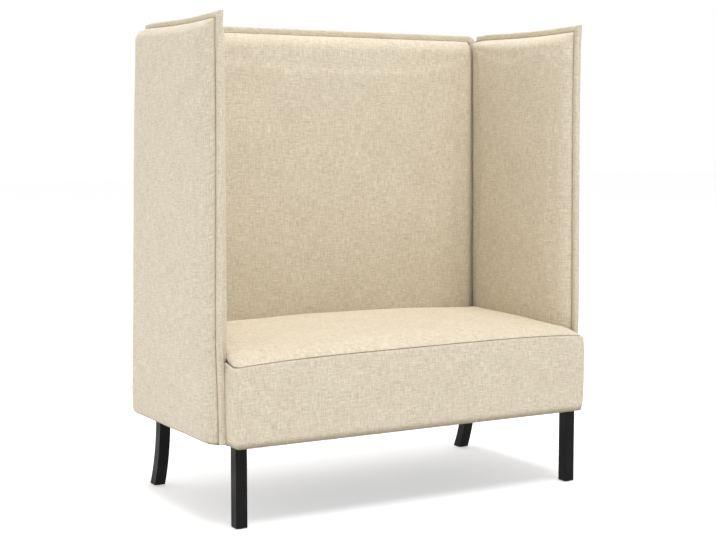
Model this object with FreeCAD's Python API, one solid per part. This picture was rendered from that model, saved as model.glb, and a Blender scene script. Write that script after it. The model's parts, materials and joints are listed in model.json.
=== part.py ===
import FreeCAD, Part
import math
import os

# High back settee: a box-shaped wing settee with a tight crowned seat, pillow panels sewn into
# thick flanges, straight front legs and sabre rear legs. All sizes are in millimetres.
# While a piece is drawn, y is the distance behind the front face of the seat. save() then moves
# every piece so that the origin lies on the floor, under the middle of the whole settee.
# Left is the left of someone who looks at the front, which is the side of negative x.

# Overall sizes: rear_lean is how much farther forward the rear face is at the top than at the foot
seat_width = 1200.0
overall_height = 1432.0
overall_depth = 682.0
rear_lean = 44.0
underside_height = 234.0

# Seat
border_height = 228.0
seam_rise = 14.0
deck_edge_rise = 44.0
deck_crown = 33.0
border_thickness = 20.0
return_thickness = 10.0
border_corner = 9.0
border_draw_in = 4.0
cushion_gap_behind = 53.0

# Flanges and panels
flange_thickness = 15.0
flange_proud_front = 14.0
flange_proud_top = 17.0
flange_tail = 8.0
flange_end_round = 6.0
flange_sag = 3.0
wing_set_back = 58.0
wing_gap = 5.5
panel_roll = 42.0
crease_roll = 22.0
panel_lip = 0.5
outer_swell = 20.0
outer_crown = 8.0
inner_swell = 19.0
inner_crown = 8.0
wing_rear_corner = 50.0
hem_start = 9.0
back_flange_set_in = 38.0
back_flange_side_gap = 10.0
back_flange_corner = 28.0
back_inner_swell = 26.0
back_inner_crown = 13.0
back_side_roll = 40.0
back_rear_roll = 12.0
back_hem_roll = 10.0
back_rear_crown = 1.5
rear_cover = 8.0
inner_pad_lift = 34.0

# Shares of a panel's roll, or of its height, at which it has an outline
head_roll_shares = (1.0, 0.65, 0.3, 0.06)
foot_roll_shares = (0.0, 0.3, 0.8)
body_shares = (0.3, 0.6)

# Seat border from its hem to its seam: share of the height, share of border_draw_in
border_profile = ((0.0, 1.0), (0.12, 0.3), (0.5, 0.0), (0.86, 0.25), (1.0, 0.8))

# Seat filling from front to rear: share of the depth, share of the rise at its sides, of its crown
cushion_profile = ((0.0, 0.0, 0.0), (0.02, 0.28, 0.2), (0.1, 0.55, 0.55), (0.4, 0.88, 1.0), (1.0, 1.0, 0.6))

# Wooden frame
frame_thickness = 28.0
wing_front_post_width = 48.0
wing_rear_post_reach = 15.0
wing_rail_width = 46.0
wing_foot_rail_width = 98.0
wing_middle_rail_height = 830.0
stile_width = 28.0
back_rail_width = 60.0
back_middle_rail_height = 760.0
centre_stile_width = 60.0
seat_rail_height = 95.0
seat_rail_thickness = 25.0
corner_post_side = 50.0
bearer_width = 45.0
board_edge_ease = 3.0
underside_cover = 2.0
dust_cover_margin = 3.0

# Springs, webbing and seat filling
spring_pairs = 4
spring_end_margin = 75.0
spring_bends = 16
spring_turn_steps = 5
spring_wire = 3.6
spring_loop_width = 56.0
spring_arch = 26.0
clip_length = 22.0
clip_width = 16.0
clip_thickness = 1.5
insulator_thickness = 5.0
strap_width = 55.0
strap_thickness = 1.2
across_strap_count = 6

# Legs and glides
leg_side = 35.0
leg_side_inset = 9.5
leg_edge_ease = 1.2
front_leg_set_back = 29.0
rear_leg_overhang = 1.7
rear_leg_sweep = 52.0
plate_thickness = 2.5
plate_margin = 2.0
glide_height = 2.0
glide_radius = 12.0
glide_stem_radius = 2.0
glide_stem_length = 10.0

# Bolts
bolt_radius = 4.0
bolt_head_radius = 7.5
bolt_head_height = 5.5
hanger_depth = 30.0
hanger_rise = 40.0
bolt_edge_margin = 27.0
bolt_end_margin = 45.0
stile_bolt_inset = 11.0
stile_bolt_foot_margin = 190.0
stile_bolt_head_margin = 86.0
stile_bolt_count = 3
back_bolt_pairs = 2
back_bolt_spacing = 280.0

# Sides of the outlines that stand for a bolt head and for a small round bar
head_sides = 6
bar_sides = 12

# Clearances, and how far a cutting solid runs past the face that it cuts
fit_gap = 0.3
bolt_clearance = 0.25
overshoot = 1.0

# Heights that are worked out from the sizes above
panel_top = overall_height - flange_proud_top
flange_tail_height = panel_top - flange_tail
seam_height = underside_height + border_height
frame_floor = underside_height + underside_cover
frame_top = flange_tail_height - 2 * fit_gap
rail_top = frame_floor + seat_rail_height
inner_pad_foot = rail_top + inner_pad_lift
leg_top = frame_floor - plate_thickness
leg_drop = leg_top - glide_height
bolt_low = frame_floor + bolt_edge_margin
bolt_high = rail_top - bolt_edge_margin

# Distances from the middle plane
side_x = seat_width / 2
flange_inner_x = side_x + wing_gap
flange_outer_x = flange_inner_x + flange_thickness
wing_centre_x = flange_inner_x + flange_thickness / 2
frame_inner_x = wing_centre_x - frame_thickness / 2
frame_outer_x = wing_centre_x + frame_thickness / 2
inner_face_x = flange_inner_x - fit_gap - inner_swell - inner_crown
cushion_half_width = inner_face_x - 2 * fit_gap
back_flange_half_width = side_x - back_flange_side_gap
seat_frame_x = side_x - return_thickness
return_inner_x = seat_frame_x + fit_gap
seat_rail_inner_x = seat_frame_x - seat_rail_thickness
post_inner_x = seat_frame_x - corner_post_side
stile_inner_x = frame_inner_x - stile_width
leg_centre_x = side_x - leg_side_inset - leg_side / 2

# Depths behind the front face of the seat
flange_root_depth = wing_set_back + flange_proud_front
flange_tail_depth = flange_root_depth + flange_tail
wing_front_post_front = flange_tail_depth + 2 * fit_gap
back_flange_depth = overall_depth - rear_lean - back_flange_set_in
back_flange_front = back_flange_depth - flange_thickness / 2
back_flange_rear = back_flange_depth + flange_thickness / 2
back_frame_front = back_flange_rear + strap_thickness + 2 * fit_gap
wing_rear_post_front = back_flange_depth - wing_rear_post_reach
cushion_rear_depth = back_flange_depth - cushion_gap_behind
border_inner_depth = border_thickness + fit_gap
front_post_front = border_inner_depth + fit_gap
rear_post_rear = back_frame_front
rear_post_front = rear_post_rear - corner_post_side
stile_bolt_depth = back_frame_front + stile_bolt_inset
front_leg_depth = front_leg_set_back + leg_side / 2
rear_leg_depth = rear_post_rear + rear_leg_overhang - leg_side / 2

# Other sizes that are worked out
spring_rest_gap = 1.5 * fit_gap
clip_height = spring_wire + clip_thickness + 2 * spring_rest_gap
rear_leg_radius = (leg_drop ** 2 + rear_leg_sweep ** 2) / (2 * rear_leg_sweep)

V = FreeCAD.Vector
ALONG_X = V(1, 0, 0)
ALONG_Y = V(0, 1, 0)
ALONG_Z = V(0, 0, 1)


def rear_leg_edge(forward):
    """Depth at the foot of a line of the rear leg that lies forward of its middle."""
    return rear_leg_depth + rear_leg_radius - math.sqrt((rear_leg_radius + forward) ** 2 - leg_drop ** 2)


def rear_depth(height):
    """Depth of the rear face of the settee at a height: it leans forward towards the top."""
    share = (height - underside_height) / (overall_height - underside_height)
    return overall_depth - rear_lean * share


rear_foot_depth = (rear_leg_edge(leg_side / 2) + rear_leg_edge(-leg_side / 2)) / 2
back_rail_rear = rear_depth(rail_top) - rear_cover

# Where the repeated pieces of the right side are
spring_spacing = 2 * (post_inner_x - spring_end_margin) / (2 * spring_pairs - 1)
right_spring_xs = [spring_spacing * (index + 0.5) for index in range(spring_pairs)]
right_back_bolt_xs = [back_bolt_spacing * (index + 0.5) for index in range(back_bolt_pairs)]
stile_bolt_low = rail_top + stile_bolt_foot_margin
stile_bolt_step = (frame_top - stile_bolt_head_margin - stile_bolt_low) / (stile_bolt_count - 1)
stile_bolt_heights = [stile_bolt_low + stile_bolt_step * index for index in range(stile_bolt_count)]
leg_spots = ((front_post_front, front_leg_depth), (rear_post_front, rear_leg_depth))


def rolled(distance, roll, full):
    """Height of a rounded edge of the given roll, at a distance in from where it starts."""
    if distance >= roll:
        return full
    return full * math.sqrt(1 - (1 - distance / roll) ** 2)


def box(low, high):
    """Box between two opposite corners."""
    size = V(*high) - V(*low)
    return Part.makeBox(size.x, size.y, size.z, V(*low))


def long_edges(solid, direction, shortest):
    """Straight edges of a solid that run along one axis and are longer than shortest."""
    edges = []
    for edge in solid.Edges:
        ends = edge.Vertexes
        if len(ends) < 2:
            continue
        run = ends[1].Point - ends[0].Point
        if run.Length > shortest and run.cross(direction).Length < 0.02 * run.Length:
            edges.append(edge)
    return edges


def prism(points, travel):
    """Solid made by moving a flat polygon along a straight line."""
    corners = [V(*point) for point in points]
    face = Part.Face(Part.makePolygon(corners + corners[:1]))
    return face.extrude(travel)


def straight_bar(start, direction, length, radius, sides):
    """Straight bar whose section is a regular polygon with its corners at a radius."""
    across = direction.cross(ALONG_Z)
    if across.Length < 0.5:
        across = ALONG_X
    upward = direction.cross(across)
    corners = []
    for index in range(sides + 1):
        angle = 2 * math.pi * index / sides
        corners.append(start + across * (radius * math.cos(angle)) + upward * (radius * math.sin(angle)))
    return Part.Face(Part.makePolygon(corners)).extrude(direction * length)


def mirrored(shape):
    """The same piece on the other side of the settee."""
    return shape.mirror(V(0, 0, 0), ALONG_X)


def on_both_sides(pieces):
    """Compound of pieces of the right side and their mirror images."""
    return Part.makeCompound(pieces + [mirrored(piece) for piece in pieces])


def save(name, shape):
    """Move a finished piece to the shared origin and write it."""
    placed = shape.copy()
    placed.translate(V(0, -overall_depth / 2, 0))
    if not placed.isValid():
        print("not valid:", name)
    print(name, "solids", len(placed.Solids), "volume", round(placed.Volume))
    placed.exportStep("parts/" + name + ".step")


def save_pair(name, right_shape):
    """Write a piece of the right side and its mirror image on the left."""
    save(name + "_right", right_shape)
    save(name + "_left", mirrored(right_shape))


# Panels: crowned pads that roll into a seam at their edges

def edge_roll(start, end, outward):
    """Arc from start to end that arrives flat at one of them, bulging along outward."""
    chord = end - start
    height = abs(chord.dot(outward))
    width = math.sqrt(max(chord.Length ** 2 - height ** 2, 0.0))
    turn = 2 * math.atan2(height, width)
    across = outward - chord * (outward.dot(chord) / chord.Length ** 2)
    across.normalize()
    middle = (start + end) * 0.5 + across * (chord.Length / 2 * math.tan(turn / 4))
    return Part.Arc(start, middle, end).toShape()


def panel_section(place, first, last, base, root, face, crown, first_roll, last_roll, last_root):
    """Closed outline of a pad: a flat base, two rolled edges and a crowned face between them.

    place(along, out) gives the point in space. The pad runs from first to last, its base lies at
    base, its rolls start at root and last_root, and its face lies at face plus a crown."""
    outward = place(0, 1) - place(0, 0)
    if face < base:
        outward = outward * -1.0
    start_base = place(first, base)
    start_root = place(first, root)
    start_face = place(first + first_roll, face)
    end_face = place(last - last_roll, face)
    end_root = place(last, last_root)
    end_base = place(last, base)
    top = (start_face + end_face) * 0.5 + outward * crown
    edges = [
        Part.LineSegment(start_base, start_root).toShape(),
        edge_roll(start_root, start_face, outward),
        Part.Arc(start_face, top, end_face).toShape(),
        edge_roll(end_face, end_root, outward),
        Part.LineSegment(end_root, end_base).toShape(),
        Part.LineSegment(end_base, start_base).toShape(),
    ]
    return Part.Wire(edges)


def panel_heights(foot, rolls_at_foot):
    """Heights of the outlines that a panel is lofted through, close together at its rolls."""
    lower = [foot]
    if rolls_at_foot:
        lower = [foot + panel_roll * share for share in foot_roll_shares]
    middle = [foot + (panel_top - foot) * share for share in body_shares]
    upper = [panel_top - panel_roll * share for share in head_roll_shares]
    return lower + middle + upper


def wing_outer_panel():
    """Pad on the outside of the wing: it wraps round the rear post and under the foot rail."""
    outlines = []
    root = flange_outer_x + fit_gap
    for height in panel_heights(underside_height, True):
        from_top = panel_top - height
        from_foot = height - underside_height + hem_start
        nearest = min(from_top, from_foot)
        swell = rolled(nearest, panel_roll, outer_swell)
        crown = outer_crown * swell / outer_swell
        rear = rear_depth(height) - wing_rear_corner + rolled(nearest, wing_rear_corner, wing_rear_corner)
        outlines.append(panel_section(
            lambda along, out, z=height: V(out, along, z),
            flange_root_depth, rear, frame_inner_x, root, root + swell, crown,
            panel_roll, frame_thickness, frame_inner_x + panel_lip))
    pad = Part.makeLoft(outlines, True, True)
    return pad.cut(wing_cavity(frame_outer_x + fit_gap, root))


def rounded_at_rear(solid):
    """Round the two level edges at the rear of a wing post, or of the room for it."""
    radius = wing_rear_corner - rear_cover
    corners = []
    for edge in long_edges(solid, ALONG_X, frame_thickness / 2):
        if edge.CenterOfMass.y > wing_rear_post_front + radius / 2:
            corners.append(edge)
    return solid.makeFillet(radius, corners)


def wing_cavity(frame_wall, flange_wall):
    """Room inside a wing for its wooden frame and for the flange in front of and above it."""
    rear_low = rear_depth(frame_floor) - rear_cover + fit_gap
    rear_high = rear_depth(frame_top) - rear_cover + fit_gap
    front = wing_front_post_front - fit_gap
    low = frame_floor - fit_gap
    high = frame_top + fit_gap
    frame_room = prism([
        (frame_inner_x - fit_gap, front, low),
        (frame_inner_x - fit_gap, rear_low, low),
        (frame_inner_x - fit_gap, rear_high, high),
        (frame_inner_x - fit_gap, front, high),
    ], ALONG_X * (frame_wall - frame_inner_x + fit_gap))
    near_x = frame_inner_x - overshoot
    upright = box((near_x, 0, 0), (flange_wall, wing_front_post_front, overall_height))
    level = box((near_x, 0, high - overshoot), (flange_wall, back_flange_depth + fit_gap, overall_height))
    return rounded_at_rear(frame_room).fuse([upright, level])


def wing_inner_panel():
    """Pad on the inside of the wing, from below the top of the seat to the top flange."""
    outlines = []
    base = flange_inner_x - fit_gap
    rear = back_flange_front - 2 * fit_gap
    for height in panel_heights(inner_pad_foot, False):
        swell = rolled(panel_top - height, panel_roll, inner_swell)
        crown = inner_crown * swell / inner_swell
        outlines.append(panel_section(
            lambda along, out, z=height: V(out, along, z),
            flange_root_depth, rear, base, base - panel_lip, base - swell, crown,
            panel_roll, crease_roll, base - panel_lip))
    pad = Part.makeLoft(outlines, True, True)
    frame_room = box(
        (frame_inner_x - fit_gap, wing_front_post_front - fit_gap, 0),
        (frame_outer_x, overall_depth, frame_top + fit_gap))
    return pad.cut(frame_room)


def wing_flange():
    """Flat sewn flange along the front and top edges of the wing, with a pointed front corner."""
    front = wing_set_back
    inner = flange_tail_depth
    end = back_flange_depth
    x = flange_inner_x
    front_top = V(x, front, overall_height)
    rear_top = V(x, end, overall_height)
    sag_point = V(x, (front + end) / 2, overall_height - flange_sag)
    straight = Part.makePolygon([
        rear_top,
        V(x, end, flange_tail_height),
        V(x, inner, flange_tail_height),
        V(x, inner, underside_height),
        V(x, front, underside_height),
        front_top,
    ])
    top_edge = Part.Arc(front_top, sag_point, rear_top).toShape()
    flange = Part.Face(Part.Wire([top_edge] + straight.Edges)).extrude(ALONG_X * flange_thickness)
    end_edges = []
    for edge in long_edges(flange, ALONG_X, flange_thickness / 2):
        if (edge.CenterOfMass - rear_top).Length < flange_thickness:
            end_edges.append(edge)
    return flange.makeFillet(flange_end_round, end_edges[:1])


def back_outline(inset):
    """Face of the back between the wings, drawn in by inset at its sides and top."""
    half = back_flange_half_width - inset
    head = overall_height - inset
    radius = back_flange_corner
    bend = radius * (1 - math.cos(math.pi / 4))
    y = back_flange_front
    foot = inner_pad_foot
    edges = [
        Part.LineSegment(V(half, y, foot), V(half, y, head - radius)).toShape(),
        Part.Arc(V(half, y, head - radius), V(half - bend, y, head - bend),
                 V(half - radius, y, head)).toShape(),
        Part.LineSegment(V(half - radius, y, head), V(radius - half, y, head)).toShape(),
        Part.Arc(V(radius - half, y, head), V(bend - half, y, head - bend),
                 V(-half, y, head - radius)).toShape(),
        Part.LineSegment(V(-half, y, head - radius), V(-half, y, foot)).toShape(),
        Part.LineSegment(V(-half, y, foot), V(half, y, foot)).toShape(),
    ]
    return Part.Face(Part.Wire(edges))


def back_inner_panel():
    """Pad on the front of the back, with its filling between the tails of the flange."""
    outlines = []
    base = back_flange_front - fit_gap
    half = inner_face_x - fit_gap
    for height in panel_heights(inner_pad_foot, False):
        swell = rolled(panel_top - height, panel_roll, back_inner_swell)
        crown = back_inner_crown * swell / back_inner_swell
        outlines.append(panel_section(
            lambda along, out, z=height: V(along, out, z),
            -half, half, base, base - panel_lip, base - swell, crown,
            back_side_roll, back_side_roll, base - panel_lip))
    pad = Part.makeLoft(outlines, True, True)
    filling = back_outline(flange_proud_top + flange_tail + fit_gap).extrude(ALONG_Y * flange_thickness)
    filling.translate(V(0, -2 * fit_gap, 0))
    return pad.fuse(filling).removeSplitter()


def back_outer_panel():
    """Panel on the rear of the settee, drawn over the back frame from the flange to the floor side."""
    outlines = []
    base = back_flange_rear + fit_gap
    half = frame_inner_x - fit_gap
    for height in panel_heights(underside_height, True):
        from_top = panel_top - height
        from_foot = height - underside_height + hem_start
        depth = rear_depth(height) - base
        swell = rolled(min(from_top, from_foot), back_hem_roll, depth)
        root = base + swell - rear_cover / 2
        outlines.append(panel_section(
            lambda along, out, z=height: V(along, out, z),
            -half, half, base, root, base + swell - back_rear_crown, back_rear_crown,
            back_rear_roll, back_rear_roll, root))
    pad = Part.makeLoft(outlines, True, True)
    low = frame_floor - fit_gap
    high = frame_top + fit_gap
    cavity = prism([
        (-overall_depth, 0, low),
        (-overall_depth, rear_depth(low) - rear_cover + fit_gap, low),
        (-overall_depth, rear_depth(high) - rear_cover + fit_gap, high),
        (-overall_depth, 0, high),
    ], ALONG_X * (2 * overall_depth))
    return pad.cut(cavity)


def back_flange():
    """Flat sewn flange over the top of the back and down both its sides, with round corners."""
    outside = back_outline(0.0).extrude(ALONG_Y * flange_thickness)
    inside = back_outline(flange_proud_top + flange_tail).extrude(ALONG_Y * flange_thickness)
    return outside.cut(inside)


# Seat upholstery

def arc_across(half, edge_height, middle_height, depth):
    """Arc from side to side of the settee, higher in the middle."""
    arc = Part.Arc(V(-half, depth, edge_height), V(0, depth, middle_height), V(half, depth, edge_height))
    return arc.toShape()


def above_seam():
    """Everything above the seam round the top of the seat border."""
    reach = side_x + border_thickness
    front = -border_thickness
    seam = arc_across(reach, seam_height, seam_height + seam_rise, front)
    over = Part.makePolygon([
        V(reach, front, seam_height),
        V(reach, front, overall_height),
        V(-reach, front, overall_height),
        V(-reach, front, seam_height),
    ])
    face = Part.Face(Part.Wire([seam] + over.Edges))
    return face.extrude(ALONG_Y * (wing_set_back + 2 * border_thickness))


def border_section(height, draw_in):
    """Outline of the seat border in plan: a front run and two short returns to the wings."""
    outer = side_x - draw_in
    front = draw_in
    rear = wing_set_back - fit_gap
    radius = border_corner
    bend = radius * (1 - math.cos(math.pi / 4))
    inner = return_inner_x
    right_corner = Part.Arc(V(outer, front + radius, height), V(outer - bend, front + bend, height),
                            V(outer - radius, front, height)).toShape()
    left_corner = Part.Arc(V(radius - outer, front, height), V(bend - outer, front + bend, height),
                           V(-outer, front + radius, height)).toShape()
    front_edge = Part.LineSegment(V(outer - radius, front, height), V(radius - outer, front, height)).toShape()
    behind = Part.makePolygon([
        V(-outer, front + radius, height), V(-outer, rear, height), V(-inner, rear, height),
        V(-inner, border_thickness, height), V(inner, border_thickness, height),
        V(inner, rear, height), V(outer, rear, height), V(outer, front + radius, height),
    ])
    return Part.Wire([right_corner, front_edge, left_corner] + behind.Edges)


def seat_border():
    """Padded border round the front of the seat, drawn in at its lower hem and at the seam."""
    span = seam_height + seam_rise - underside_height
    outlines = []
    for height_share, draw_share in border_profile:
        outlines.append(border_section(underside_height + span * height_share, border_draw_in * draw_share))
    return Part.makeLoft(outlines, True, True).cut(above_seam())


def deck_arch(lift):
    """Solid under an arch from the front rail to the rear rail, raised by lift."""
    front = front_post_front
    rear = rear_post_rear
    low = V(-side_x, front, rail_top + lift)
    high = V(-side_x, rear, rail_top + lift)
    crown_point = V(-side_x, (front + rear) / 2, rail_top + lift + spring_arch)
    under = Part.makePolygon([high, V(-side_x, rear, frame_floor), V(-side_x, front, frame_floor), low])
    face = Part.Face(Part.Wire([Part.Arc(low, crown_point, high).toShape()] + under.Edges))
    return face.extrude(ALONG_X * (2 * side_x))


def cushion_section(depth, edge_height, crown, half):
    """Outline of the seat filling across the settee: flat below, crowned above."""
    under = Part.makePolygon([
        V(half, depth, edge_height), V(half, depth, rail_top),
        V(-half, depth, rail_top), V(-half, depth, edge_height),
    ])
    return Part.Wire([arc_across(half, edge_height, edge_height + crown, depth)] + under.Edges)


def seat_cushion():
    """Crowned seat filling and its cover: it overlaps the border at the seam, as it is sewn."""
    half = side_x - border_draw_in
    front = border_draw_in
    length = cushion_rear_depth - front
    outlines = []
    for depth_share, edge_share, crown_share in cushion_profile:
        edge_height = seam_height + deck_edge_rise * edge_share
        crown = seam_rise + (deck_crown - seam_rise) * crown_share
        outlines.append(cushion_section(front + length * depth_share, edge_height, crown, half))
    cushion = Part.makeLoft(outlines, True, True)
    over_border = above_seam()
    before_seat = -overshoot
    behind_border = box((-seat_width, before_seat, 0), (seat_width, border_inner_depth, overall_height))
    beside_wing = box((cushion_half_width, wing_set_back, 0), (seat_width, overall_depth, overall_height))
    beside_return = box((seat_frame_x, before_seat, 0), (seat_width, wing_set_back, overall_height))
    beside_return = beside_return.cut(over_border)
    cushion = cushion.cut(behind_border.cut(over_border))
    for piece in (beside_wing, beside_return):
        cushion = cushion.cut(piece).cut(mirrored(piece))
    return cushion.cut(deck_arch(clip_height + insulator_thickness + 2 * fit_gap))


def seat_insulator():
    """Felt sheet over the springs, so that the filling doesn't sink into them."""
    lift = clip_height + fit_gap
    sheet = deck_arch(lift + insulator_thickness).cut(deck_arch(lift))
    keep = box(
        (fit_gap - cushion_half_width, front_post_front, rail_top),
        (cushion_half_width - fit_gap, cushion_rear_depth - fit_gap, overall_height))
    return sheet.common(keep)


# Wooden frame

def board(low, high, direction):
    """Straight board with its long edges eased."""
    solid = box(low, high)
    return solid.makeChamfer(board_edge_ease, long_edges(solid, direction, 4 * board_edge_ease))


def wing_front_post():
    """Upright behind the front flange of the wing."""
    front = wing_front_post_front
    return board((frame_inner_x, front, frame_floor),
                 (frame_outer_x, front + wing_front_post_width, frame_top), ALONG_Z)


def wing_rear_post():
    """Rear post of the wing, deeper at the foot than at the head."""
    post = prism([
        (frame_inner_x, wing_rear_post_front, frame_floor),
        (frame_inner_x, rear_depth(frame_floor) - rear_cover, frame_floor),
        (frame_inner_x, rear_depth(frame_top) - rear_cover, frame_top),
        (frame_inner_x, wing_rear_post_front, frame_top),
    ], ALONG_X * frame_thickness)
    return rounded_at_rear(post)


def wing_rail(inner_x, low, width):
    """Level rail between the two posts of the wing."""
    front = wing_front_post_front + wing_front_post_width
    return board((inner_x, front, low), (frame_outer_x, wing_rear_post_front, low + width), ALONG_Y)


def bolt(point, direction, length):
    """Hexagon headed bolt whose head seats at a point and whose shank runs along direction."""
    shank = straight_bar(V(*point), direction, length, bolt_radius, bar_sides)
    head = straight_bar(V(*point), direction * -1, bolt_head_height, bolt_head_radius, head_sides)
    return head.fuse(shank)


def bolt_hole(point, direction, length):
    """Clearance hole for a bolt that runs right through a piece of the given thickness."""
    start = V(*point) - direction * overshoot
    return straight_bar(start, direction, length + 2 * overshoot, bolt_radius + bolt_clearance, bar_sides)


def side_bolt_spots():
    """Start point and length of each bolt that runs out sideways into the right wing."""
    spots = []
    front_bolts = wing_front_post_front + wing_front_post_width + bolt_end_margin
    for depth in (front_bolts, rear_post_front - bolt_end_margin):
        for height in (bolt_low, bolt_high):
            spots.append(((seat_rail_inner_x, depth, height), frame_outer_x - seat_rail_inner_x))
    for height in stile_bolt_heights:
        spots.append(((stile_inner_x, stile_bolt_depth, height), frame_outer_x - stile_inner_x))
    return spots


def drilled_side(shape):
    """Drill a piece of the right side for the bolts into the wing."""
    for point, length in side_bolt_spots():
        shape = shape.cut(bolt_hole(point, ALONG_X, length))
    return shape


def seat_corner_posts():
    """Square posts in the corners of the seat frame, above the legs."""
    posts = []
    for front, leg_depth in leg_spots:
        post = board((post_inner_x, front, frame_floor),
                     (seat_frame_x, front + corner_post_side, rail_top), ALONG_Z)
        posts.append(post.cut(bolt_hole((leg_centre_x, leg_depth, frame_floor), ALONG_Z, hanger_rise)))
    return on_both_sides(posts)


def seat_side_rail():
    """Rail between the corner posts at the side of the seat."""
    rail = board((seat_rail_inner_x, front_post_front + corner_post_side, frame_floor),
                 (seat_frame_x, rear_post_front, rail_top), ALONG_Y)
    return drilled_side(rail)


def seat_cross_rail(front):
    """Rail between two corner posts across the seat, with its front face at a depth."""
    return board((-post_inner_x, front, frame_floor),
                 (post_inner_x, front + seat_rail_thickness, rail_top), ALONG_X)


def drilled_back(shape):
    """Drill a piece for the bolts that run back from the seat into the foot rail of the back."""
    reach = back_rail_rear - seat_rear_rail_front
    holes = [bolt_hole((x, seat_rear_rail_front, bolt_high), ALONG_Y, reach) for x in right_back_bolt_xs]
    return shape.cut(on_both_sides(holes))


def seat_bearer():
    """Bearer from front to rear under the middle of the seat, kept low to clear the springs."""
    return board((-bearer_width / 2, front_post_front + seat_rail_thickness, frame_floor),
                 (bearer_width / 2, seat_rear_rail_front, rail_top - bearer_width), ALONG_Y)


def back_upright(foot, head, first_x, last_x):
    """Rail or upright of the back from first_x to last_x, leaning with the rear face."""
    return prism([
        (first_x, back_frame_front, foot),
        (first_x, rear_depth(foot) - rear_cover, foot),
        (first_x, rear_depth(head) - rear_cover, head),
        (first_x, back_frame_front, head),
    ], ALONG_X * (last_x - first_x))


def back_rail(foot, head):
    """Rail of the back between its two stiles."""
    return back_upright(foot, head, -stile_inner_x, stile_inner_x)


def centre_stile(foot, head):
    """Short upright in the middle of the back, between two rails."""
    return back_upright(foot, head, -centre_stile_width / 2, centre_stile_width / 2)


def back_webbing():
    """Straps across the back, tacked to its stiles."""
    straps = []
    rear = back_frame_front
    half = stile_inner_x + stile_width / 2
    low = rail_top + back_rail_width
    high = frame_top - back_rail_width
    for row in range(across_strap_count):
        height = low + (high - low) * (row + 0.5) / across_strap_count
        straps.append(box((-half, rear - strap_thickness, height - strap_width / 2),
                          (half, rear, height + strap_width / 2)))
    return Part.makeCompound(straps)


# Springs

def spring_bars():
    """Middle of each cross bar of a spring at x = 0, from the front rail to the rear rail."""
    front = front_post_front + seat_rail_thickness / 2
    rear = rear_post_rear - seat_rail_thickness / 2
    span = rear - front
    radius = (span * span / 4 + spring_arch * spring_arch) / (2 * spring_arch)
    bars = []
    for index in range(spring_bends + 1):
        depth = front + span * index / spring_bends
        off_middle = depth - (front + rear) / 2
        rise = math.sqrt(radius * radius - off_middle * off_middle) - radius + spring_arch
        bars.append(V(0, depth, rail_top + spring_wire / 2 + spring_rest_gap + rise))
    return bars


def wire_section(centre, heading, run):
    """Square section of spring wire that heads one way on the arch, whose slope is that of run."""
    normal = ALONG_X.cross(run).normalize()
    leftward = normal.cross(heading)
    half = spring_wire / 2
    corners = []
    for left, up in ((-1, -1), (1, -1), (1, 1), (-1, 1), (-1, -1)):
        corners.append(centre + leftward * (left * half) + normal * (up * half))
    return Part.makePolygon(corners)


def spring_sections(x):
    """Sections of a spring from end to end: two for each cross bar and a few for each half turn."""
    bars = spring_bars()
    runs = [after - before for before, after in zip(bars, bars[1:])]
    bar_half = spring_loop_width / 2 - runs[0].Length / 2
    sections = []
    side = ALONG_X
    for index, bar in enumerate(bars):
        before = runs[max(index - 1, 0)]
        after = runs[min(index, spring_bends - 1)]
        sections.append(wire_section(bar + V(x, 0, 0) - side * bar_half, side, before))
        turn_start = bar + V(x, 0, 0) + side * bar_half
        sections.append(wire_section(turn_start, side, after))
        if index == spring_bends:
            break
        for step in range(1, spring_turn_steps):
            angle = math.pi * step / spring_turn_steps
            reach = side * (after.Length / 2 * math.sin(angle))
            spot = turn_start + after * ((1 - math.cos(angle)) / 2) + reach
            heading = side * math.cos(angle) + after * (math.sin(angle) / after.Length)
            sections.append(wire_section(spot, heading, after))
        side = side * -1
    return sections


def spring(x):
    """Zigzag spring: straight cross bars joined by half turns that follow the arch of the seat."""
    sections = spring_sections(x)
    faces = [Part.Face(sections[0]), Part.Face(sections[-1])]
    for first, second in zip(sections, sections[1:]):
        faces += Part.makeLoft([first, second], False, True).Faces
    skin = Part.Shell(faces)
    skin.sewShape()
    solid = Part.Solid(skin)
    if solid.Volume < 0:
        solid.reverse()
    return solid


def spring_clips():
    """Folded steel clips that hold the ends of the springs on the front and rear rails."""
    clips = []
    for x in right_spring_xs:
        for depth in (front_post_front + seat_rail_thickness / 2, rear_post_rear - seat_rail_thickness / 2):
            outer = box((x - clip_width / 2, depth - clip_length / 2, rail_top),
                        (x + clip_width / 2, depth + clip_length / 2, rail_top + clip_height))
            room = box((x - clip_width, depth - spring_wire, rail_top),
                       (x + clip_width, depth + spring_wire, rail_top + clip_height - clip_thickness))
            clips.append(outer.cut(room))
    return on_both_sides(clips)


# Legs

def leg_section(depth):
    """Square with eased corners, across the top of a right leg."""
    half = leg_side / 2
    spots = [(half, half - leg_edge_ease), (half - leg_edge_ease, half)]
    corners = []
    for quarter in range(4):
        corners += [V(leg_centre_x + across, depth + along, leg_top) for across, along in spots]
        spots = [(-along, across) for across, along in spots]
    return Part.Face(Part.makePolygon(corners + corners[:1]))


def bored_leg(leg, head_depth, foot_depth):
    """Bore a leg for its hanger bolt above and the stem of its glide below."""
    head = V(leg_centre_x, head_depth, leg_top)
    foot = V(leg_centre_x, foot_depth, glide_height)
    head_bore = straight_bar(head, ALONG_Z * -1, hanger_depth + fit_gap,
                             bolt_radius + bolt_clearance, bar_sides)
    foot_bore = straight_bar(foot, ALONG_Z, glide_stem_length + fit_gap,
                             glide_stem_radius + bolt_clearance, bar_sides)
    return leg.cut(head_bore).cut(foot_bore)


def front_leg():
    """Straight square leg."""
    leg = leg_section(front_leg_depth).extrude(ALONG_Z * -leg_drop)
    return bored_leg(leg, front_leg_depth, front_leg_depth)


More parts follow.
